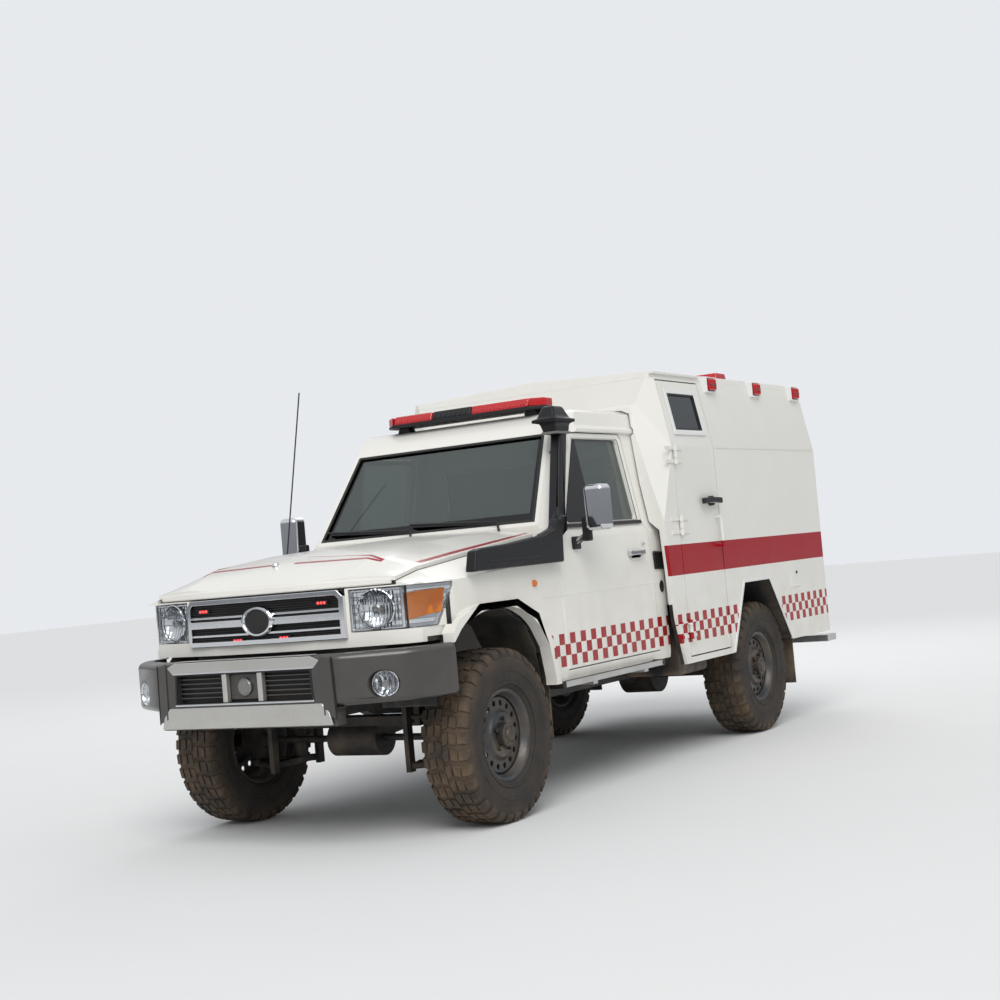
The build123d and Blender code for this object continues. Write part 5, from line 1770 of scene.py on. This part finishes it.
@dataclass
class Module:
    """Tall body module with its side door, rear doors, lamps and trim."""

    skin: float = 0.923
    markers: tuple[float, ...] = (2.731, 3.450, 4.148)

    def build(self, frame: dict) -> None:
        """Models the module.

        Args:
            frame: The loaded frame.
        """
        soft_node(frame, "box_shell", Stock.BODY, 0.004, 2, 26)
        soft_node(frame, "box_roof", Stock.BODY, 0.006, 3, 26)
        lay_on(frame, "box_floor", Stock.UNDERSEAL)
        soft_node(frame, "box_side_door", Stock.BODY, 0.004, 2, 26, "box_side_door")
        lay_on(frame, "box_side_glass", Stock.DARK_GLASS)
        for side in Side:
            door = f"rear_door_{side.tag}"
            soft_node(frame, door, Stock.BODY, 0.004, 2, 26, door)
            lay_on(frame, f"rear_door_glass_{side.tag}", Stock.DARK_GLASS)
            self.rear_fittings(side, door)
            self.arch_trim(side)
            self.window_frame(side)
            for index, station in enumerate(self.markers):
                self.marker(side, index, station)
            self.tail_lamp(side)
            self.skirt(side)
        self.side_fittings()
        lay_on(frame, "red_lamps", Stock.RED)

    def slope(self, side: Side, station: float, z: float, proud: float) -> Vector:
        """Point on or outside the sloping upper wall.

        Args:
            side: Side of the vehicle.
            station: Distance behind the front axle.
            z: Height on the wall.
            proud: Distance outside the wall.

        Returns:
            The point.
        """
        run, rise = 0.085, 0.452
        length = math.hypot(run, rise)
        x = self.skin - run * (z - 1.810) / rise
        return side.at(x + proud * rise / length, station, z + proud * run / length)

    def window_frame(self, side: Side) -> None:
        """Lays the white frame and the dark seal of the side window.

        Args:
            side: Side of the vehicle.
        """
        body = "box_side_door" if side is Side.LEFT else VEHICLE
        for label, grow, width, low, high, stock in (("window_trim", 0.020, 0.030, 0.0005, 0.010, Stock.WHITE_PART),
                                                     ("window_gasket", -0.008, 0.012, -0.006, 0.006, Stock.RUBBER)):
            front, rear, foot, head = 2.077 - grow, 2.477 + grow, 1.899 - grow, 2.139 + grow
            corners = [self.slope(side, y, z, low) for y, z in ((front, foot), (rear, foot), (rear, head),
                                                                (front, head))]
            made = Piece.frame_of(f"{label}_{side.tag}", corners, width,
                                  self.slope(side, 0, 2, high) - self.slope(side, 0, 2, low))
            made.soften(0.003, 2).dress(stock, body)

    def marker(self, side: Side, index: int, station: float) -> None:
        """Models one red marker lamp with its white housing.

        Args:
            side: Side of the vehicle.
            index: Its number.
            station: Distance behind the front axle.
        """
        name = f"{side.tag}_{index}"
        case = Piece.block(f"marker_case_{name}", side.at(0.834, station - 0.074, 2.152),
                           side.at(0.880, station + 0.074, 2.262))
        case.squeeze(side.out, (1, 0.9, 0.86), side.at(0.85, station, 2.208))
        case.sink(side.out, 0.006, -0.006).soften(0.004, 3).dress(Stock.WHITE_PART)
        lens = Piece.block(f"marker_lens_{name}", side.at(0.872, station - 0.050, 2.172),
                           side.at(0.892, station + 0.050, 2.244)).split(2).soften(0.007, 3)
        rib = Piece.block(f"marker_ribs_{name}", side.at(0.888, station - 0.044, 2.178),
                          side.at(0.8945, station - 0.040, 2.238)).row(11, BACK * 0.0084).soften(0.001, 1)
        lens.join(rib).dress(Stock.RED)
        blocks(side, [(f"marker_band_{name}", (0.886, station - 0.046, 2.198), (0.8955, station + 0.046, 2.212),
                       Stock.DEEP_RED, 0.002, 2)])

    def tail_lamp(self, side: Side) -> None:
        """Models the tail lamp: a black case with red, amber and clear fields.

        Args:
            side: Side of the vehicle.
        """
        case = Piece.block(f"tail_case_{side.tag}", side.at(0.714, 4.281, 0.684), side.at(0.866, 4.300, 0.906))
        case.sink(BACK, 0.006, -0.004).soften(0.004, 3).dress(Stock.BLACK)
        for label, low, high, stock in (("stop", 0.832, 0.896, Stock.RED), ("turn", 0.764, 0.828, Stock.AMBER),
                                        ("reverse", 0.694, 0.760, Stock.LENS)):
            lens = Piece.block(f"tail_{label}_{side.tag}", side.at(0.724, 4.298, low), side.at(0.856, 4.3045, high))
            lens.sink(BACK, 0.007, -0.001).soften(0.002, 3).dress(stock)
        plate = side.path((0.722, 4.2955, 0.692), (0.858, 4.2955, 0.692), (0.858, 4.2955, 0.898),
                          (0.722, 4.2955, 0.898))
        Piece.plate(f"tail_back_{side.tag}", plate, BACK * 0.0022).soften(0.0006, 1).dress(Stock.BOWL)

    def rear_fittings(self, side: Side, body: str) -> None:
        """Models the locking rod, lever and window trim of one rear door.

        Args:
            side: Side of the vehicle.
            body: Body the pieces ride on.
        """
        tag = side.tag
        trim = side.path(*((x, 4.281, z) for x, z in ((0.214, 1.544), (0.656, 1.544), (0.656, 1.976),
                                                      (0.214, 1.976))))
        trim = Piece.frame_of(f"rear_window_trim_{tag}", trim, 0.026, BACK * 0.008)
        trim.soften(0.004, 3).dress(Stock.RUBBER, body)
        rod = Piece.round(f"locking_rod_{tag}", side.at(0.090, 4.302, 1.565), Axis.Z, 0.008, 1.14, 20)
        rod.soften(0.002, 2).dress(Stock.STEEL, body)
        guides = [(f"rod_guide_{{}}_{int(z * 1000)}", (0.068, 4.281, z - 0.014), (0.112, 4.312, z + 0.014),
                   Stock.STEEL, 0.005, 3) for z in (1.010, 1.30, 1.70, 2.120)]
        lever = ("rear_lever_{}", (0.075, 4.300, 1.352), (0.235, 4.314, 1.380), Stock.BLACK, 0.005, 3)
        blocks(side, [*guides, lever], body)

    def arch_trim(self, side: Side) -> None:
        """Lays the white lip round the rear wheel arch and the liner inside it.

        Args:
            side: Side of the vehicle.
        """
        lip = side.path((2.598, 0.552), (2.845, 0.984), (3.275, 0.984), (3.592, 0.552), (3.566, 0.552),
                        (3.262, 0.964), (2.857, 0.964), (2.624, 0.552), x=0.921)
        Piece.plate(f"arch_lip_{side.tag}", lip, side.out * 0.007).soften(0.003, 2).dress(Stock.WHITE_PART)
        liner = side.path((2.612, 0.560), (2.851, 0.974), (3.269, 0.974), (3.578, 0.560), (3.570, 0.560),
                          (3.264, 0.968), (2.856, 0.968), (2.620, 0.560), x=0.564)
        Piece.plate(f"arch_liner_{side.tag}", liner, side.out * 0.352).soften(0.001, 1).dress(Stock.UNDERSEAL)

    def skirt(self, side: Side) -> None:
        """Models the small locked panel behind the rear wheel.

        Args:
            side: Side of the vehicle.
        """
        panel = side.path((3.628, 0.888), (3.778, 0.888), (3.778, 0.994), (3.628, 0.994), x=0.922)
        panel = Piece.plate(f"skirt_panel_{side.tag}", panel, side.out * 0.005).sink(side.out, 0.008, -0.002)
        panel.soften(0.0015, 2).dress(Stock.BODY)
        lock = Piece.round(f"skirt_lock_{side.tag}", side.at(0.928, 3.741, 0.983), Axis.X, 0.010, 0.006, 24)
        lock.sink(side.out, 0.003, 0.001).soften(0.001, 2).dress(Stock.BLACK)

    def side_fittings(self) -> None:
        """Models the side door's lever and the crease of both walls."""
        lever = Piece.block("side_lever", spot(0.941, 2.290, 1.466), spot(0.965, 2.550, 1.500))
        lever.split(3).bend(lambda p: Vector((p.x, p.y, p.z + 0.004 * math.sin((p.y - AXLE - 2.29) * 12))))
        lever.soften(0.007, 3).dress(Stock.BLACK, "box_side_door")
        boss = Piece.round("side_lever_boss", spot(0.936, 2.440, 1.483), Axis.X, 0.030, 0.024, 36)
        boss.sink(ACROSS, 0.006, 0.003).soften(0.003, 3).dress(Stock.BLACK, "box_side_door")
        drip = path((2.590, 1.804), (4.276, 1.804), (4.276, 1.814), (2.590, 1.814), x=0.9225)
        drip = Piece.plate("crease_strip", drip, ACROSS * 0.003).soften(0.001, 2)
        drip.join(drip.twin("crease_strip_far")).dress(Stock.BODY)


@dataclass
class LightBars:
    """Flashing bar on the cab and the low one on the module."""

    # name, first x, last x, finish and ribs of each run of lens on the cab's bar
    runs: tuple[tuple[str, float, float, Stock, int], ...] = (
        ("bar_lens_left", 0.079, 0.455, Stock.RED, 16), ("bar_lens_right", -0.455, -0.190, Stock.RED, 12),
        ("bar_middle", -0.187, 0.076, Stock.BLACK, 7))

    def lens_run(self, name: str, low: Vector, high: Vector, stock: Stock, segments: int) -> None:
        """Models one run of ribbed lens.

        Args:
            name: Name of the run.
            low: Lowest corner.
            high: Highest corner.
            stock: Its finish.
            segments: Ribs along the run.
        """
        made = Piece.block(name, low, high).squeeze(UP, (0.995, 0.78, 1.0), (low + high) / 2)
        made.soften(0.010, 4, 40)
        step = (high.x - low.x - 0.02) / segments
        rib = Piece.block(f"{name}_ribs", low + Vector((0.012, -0.0012, 0.012)),
                          Vector((low.x + 0.012 + step * 0.35, low.y + 0.006, high.z - 0.016)))
        rib.bend(lambda p: Vector((p.x, p.y + (0.016 if p.z > (low.z + high.z) / 2 else 0.0), p.z)))
        made.join(rib.row(segments, ACROSS * step).soften(0.0008, 1)).dress(stock)

    def build(self) -> None:
        """Models both bars."""
        base = path((0.535, 1.240), (0.462, 1.168), (-0.462, 1.168), (-0.535, 1.240), (-0.535, 1.322),
                    (-0.462, 1.372), (0.462, 1.372), (0.535, 1.322), z=2.056)
        Piece.plate("cab_bar_base", base, UP * 0.018).soften(0.005, 3).dress(Stock.BLACK, node="light_bars")
        for name, start, end, stock, ribs in self.runs:
            self.lens_run(name, spot(start, 1.170, 2.072), spot(end, 1.370, 2.122), stock, ribs)
        for side in Side:
            end = side.path((0.458, 1.170), (0.533, 1.242), (0.533, 1.320), (0.458, 1.370), z=2.072)
            Piece.plate(f"bar_end_{side.tag}", end, UP * 0.048).soften(0.010, 4, 30).dress(Stock.RED)
            foot = side.path(*((x, 1.238, z) for x, z in ((0.386, 2.030), (0.474, 2.026), (0.462, 2.058),
                                                          (0.398, 2.058))))
            Piece.plate(f"bar_foot_{side.tag}", foot, BACK * 0.064).soften(0.004, 3).dress(Stock.BLACK)
        low = Piece.block("rear_bar_base", spot(-0.545, 3.565, 2.303), spot(0.545, 3.735, 2.326))
        low.soften(0.005, 3).dress(Stock.BLACK)
        for index, (start, end) in enumerate(((0.045, 0.556), (-0.556, -0.045))):
            self.lens_run(f"rear_bar_lens_{index}", spot(start, 3.563, 2.324), spot(end, 3.737, 2.371), Stock.RED, 16)
        cap = Piece.block("rear_bar_middle", spot(-0.043, 3.566, 2.324), spot(0.043, 3.734, 2.366))
        cap.soften(0.006, 3).dress(Stock.BLACK)


@dataclass
class Underside:
    """Frame, axles, tank, exhaust, steps and mud flaps."""

    finishes: tuple[tuple[str, Stock], ...] = (
        ("chassis_frame", Stock.CHASSIS), ("front_axle", Stock.AXLE_IRON), ("rear_axle", Stock.AXLE_IRON),
        ("springs", Stock.AXLE_IRON), ("knuckle_left", Stock.AXLE_IRON), ("knuckle_right", Stock.AXLE_IRON),
        ("engine_and_gearbox", Stock.ENGINE), ("exhaust", Stock.EXHAUST), ("dashboard", Stock.TRIM))

    def build(self, frame: dict) -> None:
        """Dresses the nodes and adds the steps' and flaps' detail.

        Args:
            frame: The loaded frame.
        """
        for node, stock in self.finishes:
            lay_on(frame, node, stock)
        for node, stock, width, steps in (("fuel_tank", Stock.TANK, 0.03, 4), ("steps", Stock.ALLOY, 0.003, 2),
                                          ("mud_flaps", Stock.FLAP, 0.002, 2)):
            soft_node(frame, node, stock, width, steps, 40)
        for side in Side:
            self.board(side)
        tread = Piece.block("rear_step_tread", spot(-0.885, 4.305, 0.5145), spot(0.885, 4.315, 0.5165))
        tread.row(9, BACK * 0.017).soften(0.0008, 1).dress(Stock.ALLOY)

    def board(self, side: Side) -> None:
        """Adds ribs, an outer rail and end caps to one running board.

        Args:
            side: Side of the vehicle.
        """
        rail = Piece.block(f"board_rail_{side.tag}", side.at(0.894, 0.504, 0.576), side.at(0.908, 1.668, 0.604))
        rail.sink(side.out, 0.006, -0.003).soften(0.003, 3).dress(Stock.ALLOY)
        rib = Piece.block(f"board_ribs_{side.tag}", side.at(0.706, 0.530, 0.5988), side.at(0.712, 1.642, 0.6018))
        rib.row(13, side.out * 0.0145).soften(0.001, 1).dress(Stock.BLACK, slot="step_aluminium")
        blocks(side, [(f"board_cap_{{}}_{int(end * 1000)}", (0.686, end, 0.572), (0.909, end + 0.032, 0.6075),
                       Stock.BLACK, 0.006, 3) for end in (0.500, 1.640)])


@dataclass
class Cushion:
    """A padded piece between two corners, swollen from a block."""

    name: str
    low: Vector
    high: Vector
    stock: Stock = Stock.SEAT
    lean: float = 0.0
    swell: float = 0.012
    frames: int = 20

    def simulate(self, piece: Piece) -> None:
        """Swells the form with cloth under pressure, and holds each point within the swelling.

        Args:
            piece: The block.
        """
        piece.apply("REMESH", mode="VOXEL", voxel_size=max(0.009, max(self.high - self.low) / 70))
        before = [v.co.copy() for v in piece.made.data.vertices]
        cloth = piece.made.modifiers.new("filling", "CLOTH")
        cloth.settings.use_pressure = True
        cloth.settings.uniform_pressure_force = 4.0
        cloth.settings.quality = 5
        cloth.settings.effector_weights.gravity = 0.0
        cloth.point_cache.frame_start = 1
        cloth.point_cache.frame_end = self.frames
        scene = bpy.context.scene
        for number in range(1, self.frames + 1):
            scene.frame_set(number)
        shaped = piece.made.evaluated_get(bpy.context.evaluated_depsgraph_get())
        after = [v.co.copy() for v in shaped.data.vertices]
        piece.made.modifiers.remove(cloth)
        scene.frame_set(1)
        for vertex, old, new in zip(piece.made.data.vertices, before, after):
            step = new - old
            vertex.co = old + step * min(1.0, self.swell / max(step.length, 1e-6))

    def crown(self, point: Vector) -> Vector:
        """Draws the seam in and crowns the top.

        Args:
            point: A point of the cushion.

        Returns:
            Its new place.
        """
        centre = (self.low + self.high) / 2
        size = self.high - self.low
        share = [(p - c) / (s / 2) for p, c, s in zip(point, centre, size)]
        rise = (1 - min(1.0, share[0] ** 2)) * (1 - min(1.0, share[1] ** 2))
        seam = math.exp(-((share[0] * size.x / 2) / 0.006) ** 2) * (0.004 if size.x > 0.3 else 0.0)
        return Vector((point.x, point.y, point.z + (0.006 * rise - seam) * (1 if point.z > centre.z else 0)))

    def build(self) -> Piece:
        """Makes, fills and dresses the cushion.

        Returns:
            The cushion.
        """
        inset = Vector((self.swell, self.swell, self.swell)) * 0.7
        piece = Piece.block(self.name, self.low + inset, self.high - inset)
        piece.soften(min(self.high - self.low) * 0.28, 4, 40)
        self.simulate(piece)
        piece.bend(self.crown)
        if self.lean:
            pivot = Vector(((self.low.x + self.high.x) / 2, self.low.y, self.low.z))
            piece.move(about(pivot, Matrix.Rotation(self.lean, 4, ACROSS)))
        piece.shade(60).dress(self.stock)
        return piece


@dataclass
class Interior:
    """Seats, dashboard and the furniture of the patient compartment."""

    recline: float = -0.115

    def build(self) -> None:
        """Models what shows through the windows and open doors."""
        for side in Side:
            self.seat(side)
        self.dash()
        self.furniture()

    def seat(self, side: Side) -> None:
        """Models one seat: base, squab, backrest and headrest.

        Args:
            side: Side of the vehicle.
        """
        left, right = sorted((side.value * 0.150, side.value * 0.640))

        def span(inset: float, low: tuple[float, float], high: tuple[float, float]) -> tuple[Vector, Vector]:
            """Corners of a part of the seat, from the inset of its sides and two stations and heights."""
            return spot(left + inset, *low), spot(right - inset, *high)

        base = Piece.block(f"seat_base_{side.tag}", *span(0.03, (1.300, 0.660), (1.730, 0.815)))
        base.soften(0.012, 3).dress(Stock.TRIM, node="seats" if side is Side.LEFT else "")
        Cushion(f"seat_squab_{side.tag}", *span(0.0, (1.272, 0.815), (1.740, 0.958))).build()
        Cushion(f"seat_back_{side.tag}", *span(0.012, (1.640, 0.925), (1.752, 1.420)), lean=self.recline).build()
        head = Cushion(f"seat_head_{side.tag}", *span(0.12, (1.655, 1.432), (1.745, 1.552)), lean=self.recline)
        head.build().move(Matrix.Translation(BACK * 0.045))

    def dash(self) -> None:
        """Models the dashboard's top and the steering wheel."""
        top = path((0.706, 0.965), (0.955, 0.965), (0.965, 1.180), (0.930, 1.262), (0.860, 1.296), (0.706, 1.298),
                   x=-0.756)
        Piece.plate("dash_top", top, ACROSS * 1.512).soften(0.014, 3).dress(Stock.TRIM, node="dashboard")
        hub = spot(-0.380, 1.070, 1.194)
        wheel = Piece.ring("steering_wheel", hub, Axis.Y, 0.172, 0.0125, 56)
        spoke = Piece.block("steering_spokes", hub - Vector((0.166, 0.008, 0.014)),
                            hub + Vector((0.166, 0.008, 0.014)))
        boss = Piece.round("steering_boss", hub, Axis.Y, 0.046, 0.034, 32)
        column = Piece.round("steering_column", hub - BACK * 0.085, Axis.Y, 0.026, 0.15, 28)
        wheel.join(spoke.soften(0.005, 3), boss.soften(0.008, 3), column.soften(0.004, 2))
        wheel.move(about(hub, Matrix.Rotation(-0.46, 4, ACROSS)))
        wheel.shade(50).dress(Stock.BLACK, slot="interior_plastic")
        cluster = Piece.block("instrument_hood", spot(-0.560, 0.800, 1.290), spot(-0.210, 0.955, 1.345))
        cluster.sink(BACK, 0.012, -0.02).soften(0.010, 3).dress(Stock.TRIM)

    def furniture(self) -> None:
        """Models the cabinets, bench and stretcher."""
        cabinet = Piece.block("medicine_cabinet", spot(-0.879, 2.032, 0.946), spot(-0.432, 2.758, 1.788))
        cabinet.sink(ACROSS, 0.024, -0.006).soften(0.006, 3).dress(Stock.CABINET, node="box_furniture")
        door = Piece.block("cabinet_doors", spot(-0.436, 2.062, 0.980), spot(-0.426, 2.270, 1.352))
        door.row(3, BACK * 0.224).row(2, UP * 0.398).soften(0.003, 2).dress(Stock.CABINET)
        knob = Piece.round("cabinet_knobs", spot(-0.420, 2.250, 1.166), Axis.X, 0.009, 0.014, 20)
        knob.soften(0.003, 3).row(3, BACK * 0.224).row(2, UP * 0.398)
        knob.dress(Stock.CHROME, slot="furniture_plastic")
        box = Piece.block("bench_box", spot(0.452, 3.422, 0.946), spot(0.878, 4.198, 1.288))
        box.sink(-ACROSS, 0.03, -0.006).soften(0.006, 3).dress(Stock.CABINET)
        Cushion("bench_cushion", spot(0.452, 3.422, 1.290), spot(0.878, 4.198, 1.368), Stock.VINYL).build()
        trolley = path((-0.270, 2.712), (0.270, 2.712), (0.270, 4.138), (-0.270, 4.138), z=1.030)
        trolley = Piece.frame_of("stretcher_frame", trolley, 0.028, UP * 0.032).soften(0.009, 3)
        trolley.dress(Stock.STEEL, slot="furniture_plastic")
        leg = Piece.block("stretcher_legs", spot(-0.252, 2.85, 0.946), spot(-0.222, 2.88, 1.034))
        leg.soften(0.005, 2).row(2, ACROSS * 0.474).row(2, BACK * 1.14)
        leg.dress(Stock.STEEL, slot="furniture_plastic")
        Cushion("stretcher_mattress", spot(-0.282, 2.706, 1.062), spot(0.282, 4.146, 1.146), Stock.VINYL).build()


@dataclass
class Studio:
    """Floor, backdrop, lamps and the photograph's camera."""

    place: tuple[float, float, float] = (4.967, -8.431, 1.254)
    azimuth: float = 31.287
    elevation: float = -2.013
    roll: float = -5.097
    focal: float = 58.85
    pale: tuple[float, float, float] = (0.80, 0.80, 0.79)
    # name, place, size and power of each large soft lamp
    lamps: tuple[tuple[str, Vector, float, float], ...] = (
        ("front_lamp", Vector((5.5, -8.5, 5.5)), 4.0, 90.0), ("back_lamp", Vector((-3.5, 8.0, 6.5)), 5.0, 140.0))

    def hang(self, name: str, data: bpy.types.ID, place: Matrix) -> bpy.types.Object:
        """Puts a camera or lamp at its place.

        Args:
            name: Name of the object.
            data: The camera or lamp.
            place: Its place and turn.

        Returns:
            The object.
        """
        made = bpy.data.objects.new(name, data)
        made.matrix_world = place
        bpy.context.scene.collection.objects.link(made)
        return made

    def camera(self) -> None:
        """Sets the camera at the photograph's place and roll."""
        a, e, r = (math.radians(v) for v in (self.azimuth, self.elevation, self.roll))
        back = Vector((math.sin(a) * math.cos(e), -math.cos(a) * math.cos(e), math.sin(e)))
        right = (-back).cross(UP).normalized()
        up = right.cross(-back)
        across = right * math.cos(r) + up * math.sin(r)
        upward = up * math.cos(r) - right * math.sin(r)
        data = bpy.data.cameras.new("photo_camera")
        data.sensor_width = 36.0
        data.lens = self.focal
        turn = Matrix((across, upward, back)).transposed().to_4x4()
        bpy.context.scene.camera = self.hang("photo_camera", data, Matrix.Translation(Vector(self.place)) @ turn)

    def floor(self) -> None:
        """Lays a wide pale floor with a little grain."""
        clear_selection()
        bpy.ops.mesh.primitive_plane_add(size=90.0, location=(0, 0, 0))
        made = Piece(bpy.context.object, "studio_floor").made
        graph = Graph("pale_floor")
        graph.set(Base_Color=graph.mix(graph.noise(1.2, 5.0), tuple(c * 0.97 for c in self.pale), self.pale),
                  Roughness=0.85)
        made.data.materials.append(graph.material)

    def world(self) -> None:
        """Lights all round softly; what the camera and bright metal see is pale."""
        world = bpy.data.worlds.new("studio_air")
        bpy.context.scene.world = world
        world.use_nodes = True
        air = Tree(world.node_tree)
        ray = air.node("ShaderNodeLightPath").outputs
        shown = air.either(ray["Is Camera Ray"], ray["Is Glossy Ray"], ray["Is Transmission Ray"])
        split = air.node("ShaderNodeSeparateXYZ")
        air.feed(split.inputs[0], air.node("ShaderNodeTexCoord").outputs["Generated"])
        rise = air.fit(split.outputs[2], -0.02, 0.42, 0.0, 1.0)
        sky = air.mix(air.either(rise, ray["Is Camera Ray"]), (0.22, 0.23, 0.25), (0.80, 0.82, 0.85))
        light, pale, mix, output = (air.node(f"ShaderNode{kind}") for kind in (
            "Background", "Background", "MixShader", "OutputWorld"))
        air.wire(light, light.inputs, ((0.93, 0.96, 1.0), 0.55))
        air.wire(pale, pale.inputs, (sky, 1.0))
        air.wire(mix, mix.inputs, (shown, light.outputs[0], pale.outputs[0]))
        air.feed(output.inputs[0], mix.outputs[0])

    def lights(self) -> None:
        """Sets an even light from one side, like a very large lamp far away, and two soft lamps."""
        key = bpy.data.lights.new("key_lamp", "SUN")
        key.angle = 0.7
        key.energy = 1.7
        self.hang("key_lamp", key, Vector((-0.42, 0.62, -0.80)).to_track_quat("-Z", "Y").to_matrix().to_4x4())
        aim = Vector((0, 0, 1.1))
        for name, place, size, power in self.lamps:
            data = bpy.data.lights.new(name, "AREA")
            data.shape = "SQUARE"
            data.size = size
            data.energy = power
            turn = (aim - place).to_track_quat("-Z", "Y").to_matrix().to_4x4()
            self.hang(name, data, Matrix.Translation(place) @ turn)

    def build(self) -> None:
        """Sets up the whole studio."""
        self.camera()
        self.floor()
        self.world()
        self.lights()
        bpy.context.scene.view_settings.view_transform = "Standard"


def corners(box: tuple[Vector, Vector]) -> list[list[float]]:
    """Writes a box as plain lists."""
    return [list(box[0]), list(box[1])]


def main() -> None:
    """Builds the dressed ambulance on its frame."""
    logging.basicConfig(level=logging.INFO, format="%(message)s")
    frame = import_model()
    for part in (Studio(), Wheels(), Grille(), Headlamps()):
        part.build()
    for part in (Bumper(), Cab(), Module()):
        part.build(frame)
    LightBars().build()
    Underside().build(frame)
    Interior().build()
    clear_selection()
    log.info("the ambulance is dressed")


if __name__ == "__main__":
    main()
